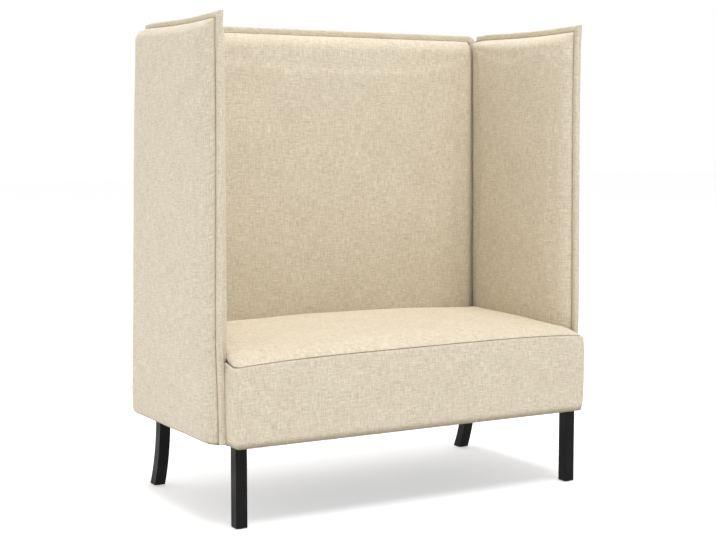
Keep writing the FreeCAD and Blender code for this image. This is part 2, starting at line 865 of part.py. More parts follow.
def rear_leg():
    """Sabre leg: upright under the seat and sweeping back to the foot on one arc."""
    turn_centre = V(0, rear_leg_depth + rear_leg_radius, leg_top)
    turn = 2 * math.degrees(math.atan2(leg_drop, rear_leg_radius))
    leg = leg_section(rear_leg_depth).revolve(turn_centre, ALONG_X, turn)
    below = box((0, 0, -2 * leg_drop), (seat_width, 3 * overall_depth, glide_height))
    return bored_leg(leg.cut(below), rear_leg_depth, rear_foot_depth)


def over_post(post_front, low, high, growth):
    """Box on the footprint of a right corner post, grown by a margin all round."""
    return box((post_inner_x - growth, post_front - growth, low),
               (seat_frame_x + growth, post_front + corner_post_side + growth, high))


def leg_plate(post_front, leg_depth):
    """Steel plate between a leg and the corner post of the seat frame above it."""
    plate = over_post(post_front, leg_top, frame_floor, -plate_margin)
    return plate.cut(bolt_hole((leg_centre_x, leg_depth, leg_top), ALONG_Z, plate_thickness))


def hanger_bolt(leg_depth):
    """Headless bolt from the leg up into the corner post."""
    return straight_bar(V(leg_centre_x, leg_depth, leg_top - hanger_depth), ALONG_Z,
                        hanger_depth + plate_thickness + hanger_rise, bolt_radius, bar_sides)


def foot_glide(foot_depth):
    """Round glide under a foot, with its stem in the leg."""
    floor_point = V(leg_centre_x, foot_depth, 0)
    disc = Part.makeCylinder(glide_radius, glide_height, floor_point)
    stem = straight_bar(floor_point, ALONG_Z, glide_height + glide_stem_length, glide_stem_radius, bar_sides)
    return disc.fuse(stem)


def dust_cover():
    """Thin cloth under the seat frame, cut away round the legs."""
    thickness = underside_cover - fit_gap
    low = frame_floor - thickness - fit_gap / 2
    sheet = box((dust_cover_margin - seat_frame_x, border_inner_depth + dust_cover_margin, low),
                (seat_frame_x - dust_cover_margin, rear_post_rear - dust_cover_margin, low + thickness))
    corners = [over_post(post_front, 0, rail_top, 2 * dust_cover_margin) for post_front, _ in leg_spots]
    return sheet.cut(on_both_sides(corners))


seat_rear_rail_front = rear_post_rear - seat_rail_thickness
back_middle_rail_head = back_middle_rail_height + back_rail_width
back_top_rail_foot = frame_top - back_rail_width
os.makedirs("parts", exist_ok=True)

# Write the wings
save_pair("wing_front_post", wing_front_post())
save_pair("wing_rear_post", drilled_side(wing_rear_post()))
save_pair("wing_top_rail", wing_rail(frame_inner_x, frame_top - wing_rail_width, wing_rail_width))
save_pair("wing_middle_rail", wing_rail(frame_inner_x, wing_middle_rail_height, wing_rail_width))
save_pair("wing_foot_rail", drilled_side(wing_rail(seat_frame_x, frame_floor, wing_foot_rail_width)))
save_pair("wing_outer_panel", wing_outer_panel())
save_pair("wing_inner_panel", wing_inner_panel())
save_pair("wing_flange", wing_flange())

# Write the back
save_pair("back_stile", drilled_side(back_upright(frame_floor, frame_top, stile_inner_x, frame_inner_x)))
save("back_foot_rail", drilled_back(back_rail(frame_floor, rail_top)))
save("back_middle_rail", back_rail(back_middle_rail_height, back_middle_rail_head))
save("back_top_rail", back_rail(back_top_rail_foot, frame_top))
save("back_centre_stile", centre_stile(rail_top, back_middle_rail_height))
save("back_upper_centre_stile", centre_stile(back_middle_rail_head, back_top_rail_foot))
save("back_webbing", back_webbing())
save("back_inner_panel", back_inner_panel())
save("back_outer_panel", back_outer_panel())
save("back_flange", back_flange())

# Write the seat
save("seat_front_rail", seat_cross_rail(front_post_front))
save("seat_rear_rail", drilled_back(seat_cross_rail(seat_rear_rail_front)))
save_pair("seat_side_rail", seat_side_rail())
save("seat_corner_posts", seat_corner_posts())
save("seat_bearer", seat_bearer())
save("seat_springs", on_both_sides([spring(x) for x in right_spring_xs]))
save("spring_clips", spring_clips())
save("seat_insulator", seat_insulator())
save("seat_cushion", seat_cushion())
save("seat_border", seat_border())
save("dust_cover", dust_cover())

# Write the legs: their section is symmetrical, so the left leg is the right one moved across
for leg_name, leg_shape in (("front_leg", front_leg()), ("rear_leg", rear_leg())):
    save(leg_name + "_right", leg_shape)
    leg_shape.translate(V(-2 * leg_centre_x, 0, 0))
    save(leg_name + "_left", leg_shape)

# Write the fasteners and fittings
save("leg_plates", on_both_sides([leg_plate(*spot) for spot in leg_spots]))
save("leg_bolts", on_both_sides([hanger_bolt(leg_depth) for _, leg_depth in leg_spots]))
save("foot_glides", on_both_sides([foot_glide(front_leg_depth), foot_glide(rear_foot_depth)]))
save("wing_bolts", on_both_sides([bolt(point, ALONG_X, length) for point, length in side_bolt_spots()]))
back_bolts = []
for bolt_x in right_back_bolt_xs:
    start = (bolt_x, seat_rear_rail_front, bolt_high)
    back_bolts.append(bolt(start, ALONG_Y, back_rail_rear - seat_rear_rail_front))
save("back_bolts", on_both_sides(back_bolts))
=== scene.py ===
# %% [markdown]
# A high back settee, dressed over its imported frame. The frame holds every board, spring and leg
# at its real place, so each cover here takes its sizes from the boxes of the frame's nodes and
# needs no fitting. Lengths are metres: z is up, the seat faces -y, the origin is on the floor.

# %% Load the frame
import json
import math

import bmesh
import bpy
import numpy as np
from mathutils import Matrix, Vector
from mathutils.kdtree import KDTree


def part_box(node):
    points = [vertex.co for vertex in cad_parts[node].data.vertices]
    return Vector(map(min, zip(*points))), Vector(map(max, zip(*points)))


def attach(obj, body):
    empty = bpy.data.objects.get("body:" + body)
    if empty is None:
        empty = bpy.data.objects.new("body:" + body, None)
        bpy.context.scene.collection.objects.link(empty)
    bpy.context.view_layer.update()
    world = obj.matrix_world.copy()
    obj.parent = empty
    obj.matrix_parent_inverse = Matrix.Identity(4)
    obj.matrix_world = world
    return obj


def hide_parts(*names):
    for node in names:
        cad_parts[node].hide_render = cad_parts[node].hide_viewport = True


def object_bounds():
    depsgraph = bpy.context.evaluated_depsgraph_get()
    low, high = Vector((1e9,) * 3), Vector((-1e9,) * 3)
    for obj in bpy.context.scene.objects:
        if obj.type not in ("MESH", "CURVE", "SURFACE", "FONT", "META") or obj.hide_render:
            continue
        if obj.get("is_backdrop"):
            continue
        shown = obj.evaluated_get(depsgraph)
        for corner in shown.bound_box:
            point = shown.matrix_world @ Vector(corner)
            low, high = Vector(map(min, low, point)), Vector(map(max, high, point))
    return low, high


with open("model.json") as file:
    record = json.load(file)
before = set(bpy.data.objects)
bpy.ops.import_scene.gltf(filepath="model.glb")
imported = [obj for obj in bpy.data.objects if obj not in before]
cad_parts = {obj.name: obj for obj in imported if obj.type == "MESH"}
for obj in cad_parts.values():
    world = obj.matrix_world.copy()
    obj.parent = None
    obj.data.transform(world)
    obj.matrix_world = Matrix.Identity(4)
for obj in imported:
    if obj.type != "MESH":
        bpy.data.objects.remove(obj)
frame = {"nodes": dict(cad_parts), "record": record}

cad_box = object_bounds()
print("frame nodes", len(frame["nodes"]))

# %% [markdown]
# The camera and the light come first, because each finish is judged under them. The photograph
# was taken from the settee's front left, a little under the top of the back, with a long lens. A
# white room, a big soft lamp above and two weaker ones give the even light of a shop picture.
# The camera's place and lens were worked out from measured points of the photograph, because a
# camera set by eye never lines up, and the lamps are big, because small ones cast hard shadows.


# %% Camera at the photograph's place
def placed(name, data):
    """New object in the scene for a mesh, a lamp or a camera."""
    made = bpy.data.objects.new(name, data)
    bpy.context.scene.collection.objects.link(made)
    return made


camera_data = bpy.data.cameras.new("photo_camera")
camera_data.sensor_width = 36.0
camera_data.lens = 74.05
camera_data.shift_x = 0.00124
camera_data.shift_y = -0.00346
camera_data.clip_end = 60.0
camera = placed("photo_camera", camera_data)
camera.location = (-2.29933, -3.96011, 1.09094)
camera.rotation_euler = (math.radians(84.91), 0.0, math.radians(-29.88))
bpy.context.scene.camera = camera
print("camera lens", camera_data.lens)


# %% Nodes with their inputs set in one call
def set_inputs(node, values):
    """Give inputs of a node their values; a socket is linked instead."""
    for key, value in values.items():
        if isinstance(value, bpy.types.NodeSocket):
            node.id_data.links.new(value, node.inputs[key])
        else:
            node.inputs[key].default_value = value
    return node


def add_node(tree, kind, values=None, **settings):
    """New node in a tree, with its settings and its inputs."""
    made = tree.nodes.new(kind)
    for key, value in settings.items():
        setattr(made, key, value)
    return set_inputs(made, values or {})


# %% A soft lamp
lamp_tint = (1.0, 0.99, 0.985)
white = (1.0, 1.0, 1.0)
floor_glow = 0.5
room_behind, room_front = 1.0, 0.22
seat_middle = (0.0, -0.1, 0.5)
wing_middle = (0.0, 0.0, 0.8)


def soft_lamp(name, place, aim, size, power, tint=white):
    """Square area lamp at a place, turned towards a point."""
    data = bpy.data.lights.new(name, "AREA")
    data.size, data.energy, data.color = size, power, tint
    lamp = placed(name, data)
    lamp.location = place
    lamp.rotation_euler = (Vector(aim) - Vector(place)).to_track_quat("-Z", "Y").to_euler()


# %% A white room and its floor
def studio_world(behind, front):
    """White room that is brighter behind the settee than in front of it."""
    world = bpy.data.worlds.new("studio")
    world.use_nodes = True
    tree = world.node_tree
    place = add_node(tree, "ShaderNodeTexCoord")
    split = add_node(tree, "ShaderNodeSeparateXYZ", {0: place.outputs["Generated"]})
    share = add_node(tree, "ShaderNodeMapRange", {
        "Value": split.outputs["Y"], "From Min": -0.2, "From Max": 0.3,
        "To Min": front, "To Max": behind})
    set_inputs(tree.nodes["Background"], {"Strength": share.outputs["Result"],
                                          "Color": (*white, 1.0)})
    bpy.context.scene.world = world


def studio_floor(half_size):
    """Plain pale floor under the settee."""
    mesh = bpy.data.meshes.new("studio_floor")
    signs = ((-1, -1), (1, -1), (1, 1), (-1, 1))
    mesh.from_pydata([(x * half_size, y * half_size, 0) for x, y in signs], [], [(0, 1, 2, 3)])
    material = bpy.data.materials.new("pale_floor")
    material.use_nodes = True
    set_inputs(material.node_tree.nodes["Principled BSDF"], {
        "Base Color": (0.8, 0.8, 0.8, 1.0), "Emission Color": (*white, 1.0),
        "Emission Strength": floor_glow, "Roughness": 0.9, "Specular IOR Level": 0.1})
    mesh.materials.append(material)
    placed("studio_floor", mesh)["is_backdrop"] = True


# %% Light the studio
bpy.context.scene.view_settings.view_transform = "Standard"
studio_world(room_behind, room_front)
studio_floor(30.0)
soft_lamp("lamp_above", (-1.0, -3.9, 7.1), seat_middle, 5.2, 50.0, lamp_tint)
soft_lamp("lamp_overhead", (0.0, -1.86, 7.54), seat_middle, 4.0, 520.0, lamp_tint)
soft_lamp("lamp_left", (-4.0, -1.6, 1.9), wing_middle, 2.0, 9.0)
print("lamps", [light.name for light in bpy.data.lights])

# %% [markdown]
# Every finish is made of nodes, so it holds at any distance. The cover is a linen look cloth: a
# plain weave of light and dark threads that thicken and thin along their length. The threads
# follow the cloth round each edge, so the weave reads a map of the cover in metres, which every
# cover gets when its mesh is made. A second mark on the mesh says where painted shade darkens
# the cloth's colour: in its seams and creases and where it curls under at the hem. An image
# could be wrapped on instead, but it would blur close up and show where it ends.


# %% A small helper for shader nodes
def opaque(colour):
    """A colour with full alpha; a socket stays as it is."""
    return (*colour, 1.0) if isinstance(colour, tuple) else colour


def grey(value):
    return (value, value, value)


class Shader:
    """Node tree of one material, with short calls to add and join nodes."""

    def __init__(self, name, roughness, values=()):
        self.material = bpy.data.materials.new(name)
        self.material.use_nodes = True
        self.tree = self.material.node_tree
        self.surface = self.tree.nodes["Principled BSDF"]
        self.surface.inputs["Roughness"].default_value = roughness
        set_inputs(self.surface, dict(values))

    def node(self, kind, values=None, **settings):
        return add_node(self.tree, kind, values, **settings)

    def math(self, operation, first, second=0.0):
        return self.node("ShaderNodeMath", {0: first, 1: second}, operation=operation).outputs[0]

    def plus(self, first, second):
        return self.math("ADD", first, second)

    def times(self, first, second):
        return self.math("MULTIPLY", first, second)

    def object_place(self):
        return self.node("ShaderNodeTexCoord").outputs["Object"]

    def stretched(self, place, scale):
        """A place multiplied along each axis, so that a pattern is drawn out along one of them."""
        return self.node("ShaderNodeMapping", {"Vector": place, "Scale": scale}).outputs["Vector"]

    def noise(self, place, detail=2.0, roughness=0.5, scale=1.0):
        return self.node("ShaderNodeTexNoise", {"Vector": place, "Scale": scale, "Detail": detail,
                                                "Roughness": roughness}).outputs["Fac"]

    def blend(self, share, first, second):
        mixed = {0: share, 6: opaque(first), 7: opaque(second)}
        return self.node("ShaderNodeMix", mixed, data_type="RGBA").outputs[2]

    def span(self, value, low, high, new_low=0.0, new_high=1.0):
        return self.node("ShaderNodeMapRange", {0: value, 1: low, 2: high, 3: new_low,
                                                4: new_high}).outputs[0]

    def colour(self, value):
        set_inputs(self.surface, {"Base Color": value})

    def bump(self, height, distance, strength):
        made = self.node("ShaderNodeBump", {"Height": height, "Distance": distance,
                                            "Strength": strength})
        set_inputs(self.surface, {"Normal": made.outputs["Normal"]})


# %% Threads of the linen look cloth
thread_pitch = 0.0011
thread_run = thread_pitch / 0.075
slub_length, slub_width = 0.02, 0.0027
long_slub_length, long_slub_width = 0.06, 0.0032
light_thread = (0.85, 0.779, 0.638)
dark_thread = (0.425, 0.351, 0.236)
# Colour of the painted shade that darkens the cloth in seams, creases and under the hem.
painted_seam_shade = (0.15, 0.105, 0.06)


def linen(name, light, dark):
    """Plain weave of slubby light and dark threads, with painted shade in its seams, creases and
    hem.
    """
    cloth = Shader(name, 0.88, {"Specular IOR Level": 0.25, "Sheen Weight": 0.18,
                                "Sheen Roughness": 0.45})
    place = cloth.node("ShaderNodeUVMap", uv_map="cloth").outputs["UV"]

    def crossed(length, width, layer, detail):
        """Streaks of noise of a length and a width, laid along the cloth and across it."""
        weft = cloth.stretched(place, (1 / length, 1 / width, layer))
        warp = cloth.stretched(place, (1 / width, 1 / length, layer))
        return cloth.plus(cloth.noise(weft, detail), cloth.noise(warp, detail))

    short_slubs = crossed(slub_length, slub_width, 1.0, 1.5)
    long_slubs = crossed(long_slub_length, long_slub_width, 3.0, 1.0)
    fine = crossed(thread_run, thread_pitch, 1.0, 1.0)
    slubs = cloth.plus(cloth.times(short_slubs, 0.6), cloth.times(long_slubs, 0.4))
    share = cloth.plus(cloth.span(slubs, 0.76, 1.24, 0.1, 0.66),
                       cloth.span(fine, 0.7, 1.3, 0.02, 0.22))
    cloudy = cloth.noise(place, scale=9.0)
    share = cloth.plus(share, cloth.span(cloudy, 0.3, 0.7, -0.02, 0.04))
    # Painted shade: the seam mark blends the threads' colour towards the painted shade colour.
    seam = cloth.node("ShaderNodeAttribute", attribute_name="seam").outputs["Fac"]
    depth = cloth.times(cloth.math("POWER", seam, 1.5), 0.4)
    cloth.colour(cloth.blend(depth, cloth.blend(share, dark, light), painted_seam_shade))
    split = cloth.node("ShaderNodeSeparateXYZ", {0: place})
    weave = 2 * math.pi / thread_pitch
    waves = [cloth.math("SINE", cloth.times(split.outputs[axis], weave)) for axis in (0, 1)]
    cloth.bump(cloth.plus(cloth.times(cloth.times(*waves), 0.35), cloth.times(slubs, 1.3)),
               0.00035, 0.55)
    return cloth.material


# %% Finish of flecked yarn, and the cloth's two materials
def flecked(name, roughness, dark, light, grain, height=0.0, strength=0.0):
    """Cloth or yarn of matted fibres in two tones; the grain is its noise."""
    finish = Shader(name, roughness)
    fibres = finish.noise(finish.object_place(), *grain)
    finish.colour(finish.blend(fibres, dark, light))
    if height:
        finish.bump(fibres, height, strength)
    return finish.material


linen_cover = linen("oatmeal_linen", light_thread, dark_thread)
sewing_thread = flecked("sewing_thread", 0.6, (0.62, 0.53, 0.39), (0.8, 0.72, 0.57),
                        (2.0, 0.5, 900.0))
print("cloth", linen_cover.name, "thread pitch", thread_pitch)


# %% [markdown]
# The parts that nobody sees still get their own finish: planed hardwood for the frame, zinc on
# bolts and plates, oiled wire, webbing, felt and a black spun cloth below. Each pattern reads
# the object's own coordinates, which never slide, because no object is moved.


# %% Wood, metal and plastic
def along_grain(name, light, dark, scale, roughness, metallic=0.0):
    """Wood, metal or plastic with fine lines, drawn out where the scale is small."""
    finish = Shader(name, roughness, {"Metallic": metallic})
    place = finish.object_place()
    lines = finish.noise(finish.stretched(place, scale), 4.0, 0.6)
    patches = finish.noise(place, scale=6.0)
    share = finish.plus(finish.span(lines, 0.35, 0.65, 0.0, 0.7),
                        finish.span(patches, 0.3, 0.7, 0.0, 0.3))
    finish.colour(finish.blend(share, dark, light))
    finish.bump(lines, 0.0003, 0.3)
    return finish.material


# %% Lacquer of the legs
def black_lacquer():
    """Satin black lacquer with the faint waviness of a brushed coat and an uneven gloss."""
    finish = Shader("black_lacquer", 0.42, {"Specular IOR Level": 0.11})
    place = finish.object_place()
    finish.colour(finish.blend(finish.noise(place, 3.0, 0.55, 40.0), grey(0.004), grey(0.009)))
    gloss = finish.span(finish.noise(place, scale=14.0), 0.3, 0.7, 0.38, 0.52)
    set_inputs(finish.surface, {"Roughness": gloss})
    finish.bump(finish.noise(finish.stretched(place, (300.0, 300.0, 14.0))), 0.0002, 0.25)
    return finish.material


# %% Cloths of the underside and the springs
def spun_cloth():
    """Black spun cloth: short fibres that lie every way, with a grid of pressed points."""
    finish = Shader("spun_cloth", 0.9)
    place = finish.object_place()
    fibres = finish.noise(place, 4.0, 0.7, 420.0)
    points = finish.node("ShaderNodeTexVoronoi", {"Vector": place, "Scale": 520.0})
    finish.colour(finish.blend(fibres, (0.008, 0.008, 0.009), (0.05, 0.05, 0.052)))
    finish.bump(finish.plus(fibres, points.outputs["Distance"]), 0.0003, 0.5)
    return finish.material


def webbing_cloth():
    """Elastic webbing: close ribs with a darker stripe."""
    finish = Shader("elastic_webbing", 0.8)
    ribs = finish.node("ShaderNodeTexWave", {"Vector": finish.object_place(), "Scale": 160.0,
                                             "Distortion": 0.6}, bands_direction="Z")
    finish.colour(finish.blend(ribs.outputs["Fac"], (0.3, 0.24, 0.16), (0.48, 0.41, 0.3)))
    finish.bump(ribs.outputs["Fac"], 0.0004, 0.6)
    return finish.material


# %% A finish for each slot of the record
finishes = {
    "linen_cover": linen_cover,
    "leg_lacquer": black_lacquer(),
    "frame_wood": along_grain("planed_hardwood", (0.6, 0.43, 0.26), (0.42, 0.28, 0.15),
                              (14.0, 90.0, 90.0), 0.6),
    "zinc_steel": along_grain("bright_zinc", (0.66, 0.66, 0.64), (0.48, 0.48, 0.47),
                              grey(90.0), 0.38, metallic=1.0),
    "spring_steel": along_grain("oiled_wire", (0.24, 0.24, 0.25), (0.12, 0.12, 0.13),
                                grey(90.0), 0.45, metallic=1.0),
    "glide_plastic": along_grain("moulded_plastic", grey(0.06), grey(0.035), grey(200.0), 0.55),
    "dust_cloth": spun_cloth(),
    "webbing": webbing_cloth(),
    "felt": flecked("needle_felt", 0.95, (0.2, 0.2, 0.21), (0.52, 0.52, 0.54),
                    (5.0, 0.75, 300.0), 0.0006, 0.7),
}
for part in frame["record"]["subparts"]:
    node_mesh = frame["nodes"][part["node"]].data
    node_mesh.materials.clear()
    node_mesh.materials.append(finishes[part["material_slot"]])
print("finishes", sorted(finishes))

# %% [markdown]
# A cover is a sheet of cloth over foam, so each one is made as a grid of points: rows up the
# piece and columns along it. The grid is close at the edges, where the cloth rolls into its
# seam, and even over the face. It gets its cloth map, its marks of painted seam shade and a
# foam wall inside. A sculpted or remeshed pad could be as round, but it would lose the seams
# and the cloth map.

# %% Read the sizes from the frame
flange_low, flange_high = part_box("wing_flange_right")
outer_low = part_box("wing_outer_panel_right")[0]
inner_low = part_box("wing_inner_panel_right")[0]
back_low, back_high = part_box("back_inner_panel")
top_low, top_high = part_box("back_flange")
border_low, border_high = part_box("seat_border")
deck_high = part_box("seat_cushion")[1]

under_z = border_low.z
top_z = flange_high.z
hem_hold_z = under_z + 0.014
seat_front_y = border_low.y
rear_foot_y = 0.003 - seat_front_y
rear_lean = 0.044
wing_front_y = flange_low.y
wing_end_y = flange_high.y
wing_mid_x = (flange_low.x + flange_high.x) / 2
flange_half_thickness = 0.0085
flange_reach_front = 0.017
flange_reach_top = 0.02
seam_top_z = top_z - flange_reach_top
front_seam_y = wing_front_y + flange_reach_front
side_roll = 0.042
rear_top_corner = 0.01
rear_foot_corner = 0.03
edge_gap = 0.0003
print("seams at y", round(front_seam_y, 4), "and z", round(seam_top_z, 4))


# %% Shares and rolls
def ramp(value, start, end):
    """Share of the way from start to end that a value has gone, from 0 to 1."""
    return np.clip((value - start) / (end - start), 0, 1)


def quarter(steps):
    """Angles from 0 to a right angle."""
    return np.linspace(0.0, math.pi / 2, steps)


def arc(steps):
    """Steps of a quarter circle of radius 1: how far it has turned in, and what is left to go."""
    return [(1 - math.cos(angle), 1 - math.sin(angle)) for angle in quarter(steps)]


def rear_y(z):
    """Depth of the settee's rear face, which leans forward towards the top."""
    return rear_foot_y - rear_lean * (z - under_z) / (top_z - under_z)


def rolled(distance, roll):
    """Share of its full height that a rounded edge has at a distance from its seam."""
    short = 1 - ramp(np.asarray(distance, float), 0.0, roll)
    return 0.6 * np.sqrt(1 - short ** 2) + 0.4 * (1 - short ** 2)


def crown(distance, length):
    """Share of a panel's crown: none at its two ends and all in the middle."""
    return 1 - (2 * np.asarray(distance, float) / length - 1) ** 2


def stations(length, first_roll, last_roll, spacing=0.016, steps=9):
    """Distances along a panel, close together in the rolls at its ends and even between them."""
    turn = 1 - np.cos(quarter(steps))
    start = turn * first_roll if first_roll else [0.0]
    end = length - turn[::-1] * last_roll if last_roll else [length]
    between = length - first_roll - last_roll
    count = max(2, round(between / spacing) + 1)
    return np.concatenate([start, first_roll + np.linspace(0.0, between, count)[1:-1], end])


# %% Waves and marks
def soft_field(u, v, size, seed, waves=14):
    """Smooth random waves of about one size over the cover, between about -1 and 1."""
    draw = np.random.default_rng(seed)
    total = np.zeros(np.broadcast(u, v).shape)
    for _ in range(waves):
        angle = draw.uniform(0.0, math.pi)
        length = size * draw.uniform(0.7, 1.6)
        phase = draw.uniform(0.0, 2 * math.pi)
        place = u * math.cos(angle) + v * math.sin(angle)
        total = total + np.sin(place * 2 * math.pi / length + phase)
    return total / math.sqrt(waves)


# Size of each cover's waves, their seed and their height.
waves_of = {
    "wing_outer": (0.22, 11, 0.0009), "wing_inner": (0.2, 23, 0.0009), "back": (0.26, 37, 0.0012),
    "rear": (0.3, 41, 0.0008), "wing_flange": (0.16, 53, 0.0007),
    "back_flange": (0.18, 59, 0.0006), "border": (0.17, 61, 0.0009), "deck": (0.2, 71, 0.0011),
}


def slack(u, v, cover):
    """Small waves of a cover, which no upholsterer can draw quite flat."""
    size, seed, height = waves_of[cover]
    return soft_field(u, v, size, seed) * height


def near_seam(distance, reach=0.0012):
    """Mark of the painted seam shade: 1 on a seam and 0 from a few millimetres away."""
    return np.clip(1 - np.abs(distance) / reach, 0, 1)


def hem_mark(height, reach=0.018):
    """Mark of the shade where a cover curls under the frame: deepest at its lowest point."""
    return 1.85 * np.clip(1 - height / reach, 0, 1) ** 0.8


print("rear face at y", round(rear_y(under_z), 4), "to", round(rear_y(top_z), 4))


# %% Turn a grid of points into a cover
def steps_along(points, axis=0):
    """Distances in metres from the first point of each line of points."""
    steps = np.cumsum(np.linalg.norm(np.diff(points, axis=axis), axis=-1), axis=axis)
    return np.insert(steps, 0, 0.0, axis=axis)


def reworked(mesh, change):
    """Change a mesh by a function that works on it as a bmesh."""
    work = bmesh.new()
    work.from_mesh(mesh)
    change(work)
    work.to_mesh(mesh)
    work.free()


def turn_outward(work):
    bmesh.ops.recalc_face_normals(work, faces=work.faces)


def cap_ends(work):
    """Close the open ends of a swept band."""
    ends = [edge for edge in work.edges if edge.is_boundary]
    bmesh.ops.holes_fill(work, edges=ends, sides=0)
    turn_outward(work)


def grid_mesh(name, points, seam, flip=False, closed=False):
    """Mesh of a grid of points with its cloth map, for the weave, and its marks of painted shade.
    """
    rows, columns = points.shape[:2]
    u = steps_along(points, axis=1)
    u, v = u - u[:, u.shape[1] // 2][:, None], steps_along(points)
    faces = []
    for row in range(rows - 1):
        for column in range(columns if closed else columns - 1):
            beside = (column + 1) % columns
            face = (row * columns + column, row * columns + beside,
                    (row + 1) * columns + beside, (row + 1) * columns + column)
            faces.append(face[::-1] if flip else face)
    mesh = bpy.data.meshes.new(name)
    mesh.from_pydata(points.reshape(-1, 3).tolist(), [], faces)
    marks = mesh.attributes.new("seam", "FLOAT", "POINT")
    marks.data.foreach_set("value", np.ascontiguousarray(seam, np.float32).ravel())
    layer = mesh.uv_layers.new(name="cloth")
    corners = np.empty(len(mesh.loops), np.int32)
    mesh.loops.foreach_get("vertex_index", corners)
    flat = np.stack([u.ravel()[corners], v.ravel()[corners]], axis=1)
    layer.data.foreach_set("uv", flat.ravel().astype(np.float32))
    mesh.polygons.foreach_set("use_smooth", np.ones(len(mesh.polygons), bool))
    if closed:
        reworked(mesh, cap_ends)
    return placed(name, mesh)


# %% Apply modifiers
def settled(made, *modifiers):
    """Apply modifiers to an object: its evaluated mesh takes the place of its own."""
    for kind, settings in modifiers:
        modifier = made.modifiers.new(kind.lower(), kind)
        for key, value in settings.items():
            setattr(modifier, key, value)
    graph = bpy.context.evaluated_depsgraph_get()
    plain = bpy.data.meshes.new_from_object(made.evaluated_get(graph),
                                            preserve_all_data_layers=True, depsgraph=graph)
    made.modifiers.clear()
    old, made.data = made.data, plain
    bpy.data.meshes.remove(old)


# %% [markdown]
# Foam pushes a cover out against its seams, and the cloth beside a seam is cut a little full, so
# it gathers there. Blender's Cloth gives both: the edges are held, the foam is a pressure, and
# the cloth near the held edges is allowed to grow. How far a point may move has a limit.

# %% How hard the foam pushes, and how full the cloth is
cloth_frames = 13
foam_push = 4.0
seam_fullness = 0.022
gather_reach = 0.03
pucker_size, pucker_height = 0.034, 0.0005
most_move = 0.0026
print("cloth frames", cloth_frames, "and pressure", foam_push)


# %% Points of a mesh and their weights
def edge_points(mesh):
    """Numbers of the points on the open edges of a mesh."""
    ends = np.empty(len(mesh.edges) * 2, np.int32)
    mesh.edges.foreach_get("vertices", ends)
    users = np.empty(len(mesh.loops), np.int32)
    mesh.loops.foreach_get("edge_index", users)
    open_edges = np.bincount(users, minlength=len(mesh.edges)) == 1
    return np.unique(ends.reshape(-1, 2)[open_edges])


def per_point(mesh, name):
    """Places or normals of a mesh's points, as one row each."""
    flat = np.empty(len(mesh.vertices) * 3)
    mesh.vertices.foreach_get(name, flat)
    return flat.reshape(-1, 3)


def weighted(made, name, numbers, weights):
    """Vertex group with a weight for each of some points."""
    group = made.vertex_groups.new(name=name)
    for index, weight in zip(numbers, weights):
        group.add([int(index)], float(weight), "REPLACE")
    return group.name


# %% Let a cover settle over its foam
def relaxed(made, seed, cap):
    """Run Cloth on a copy of a cover with its edges held, and move the cover out as it moved."""
    before, normals = per_point(made.data, "co"), per_point(made.data, "normal")
    held = edge_points(made.data)
    tree = KDTree(len(held))
    for index in held:
        tree.insert(before[index], int(index))
    tree.balance()
    distance = np.array([tree.find(point)[2] for point in before])
    near = np.exp(-(distance / gather_reach) ** 2)
    waves = soft_field(before[:, 1] + before[:, 0], before[:, 2], pucker_size, seed)
    waves *= pucker_height * near * rolled(distance, 0.01)
    twin = placed(made.name + "_run", made.data.copy())
    twin.data.vertices.foreach_set("co", (before + normals * waves[:, None]).ravel())
    still = np.union1d(held, np.nonzero(before[:, 2] < hem_hold_z)[0])
    full = np.nonzero(near > 0.02)[0]
    modifier = twin.modifiers.new("cloth", "CLOTH")
    settings = modifier.settings
    settings.quality = 4
    settings.vertex_group_mass = weighted(twin, "held", still, np.ones(len(still)))
    settings.vertex_group_shrink = weighted(twin, "full", full, near[full])
    settings.shrink_min, settings.shrink_max = 0.0, -seam_fullness
    settings.use_pressure = True
    settings.uniform_pressure_force = foam_push
    settings.effector_weights.gravity = 0.0
    modifier.collision_settings.use_collision = False
    modifier.point_cache.frame_start = 1
    modifier.point_cache.frame_end = cloth_frames
    for frame_number in range(1, cloth_frames + 1):
        bpy.context.scene.frame_set(frame_number)
    graph = bpy.context.evaluated_depsgraph_get()
    moved = per_point(twin.evaluated_get(graph).data, "co") - before
    bpy.context.scene.frame_set(1)
    outward = np.maximum(np.einsum("ij,ij->i", moved, normals), 0.0)
    kept = cap * np.tanh(outward / cap) * rolled(distance, 0.004)
    made.data.vertices.foreach_set("co", (before + normals * kept[:, None]).ravel())
    made.data.update()
    old = twin.data
    bpy.data.objects.remove(twin)
    bpy.data.meshes.remove(old)
    print(made.name, "cloth moved out by", round(float(kept.max()), 4), "at most")


# %% Finish a piece
smooth_once = ("SUBSURF", {"levels": 1, "render_levels": 1, "boundary_smooth": "PRESERVE_CORNERS"})
foam_wall = ("SOLIDIFY", {"thickness": 0.004, "offset": -1.0, "use_even_offset": False})


def dressed(made, slot, *nodes, keep_finish=False):
    """Give a piece the finish of its slot, its body and the nodes that it stands for."""
    if not keep_finish:
        made.data.materials.clear()
        made.data.materials.append(finishes[slot])
    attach(made, "root")
    if nodes:
        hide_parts(*nodes)
    print(made.name, "faces", len(made.data.polygons))


def pad(made, fill, *nodes, seed=None, cap=most_move, wall=foam_wall):
    """Make a pad of a cover: smooth it, let it settle if it has a seed, and wall it with foam."""
    settled(made, smooth_once)
    if seed:
        relaxed(made, seed, cap)
    if wall:
        settled(made, wall)
    dressed(made, "linen_cover", *nodes)


print("foam wall", foam_wall[1]["thickness"])


# %% [markdown]
# The wings lean in a little at the rear of their tops, where the cloth pulls them to the back,
# and bow outwards at elbow height. All three pieces of a wing are bent by the same rule, so
# that they stay sewn together. A lattice could bend them too, but a rule can be read and changed.


# %% How a wing is bent
toe_in = 0.008
bow_out, bow_height = 0.006, 0.52
bow_reach_up, bow_reach_down = 0.36, 0.13
straight_z = 0.5
top_sag = 0.0036
tail_drop = 0.0022
point_rise = 0.002
point_forward = 0.006
side_lift = 0.003


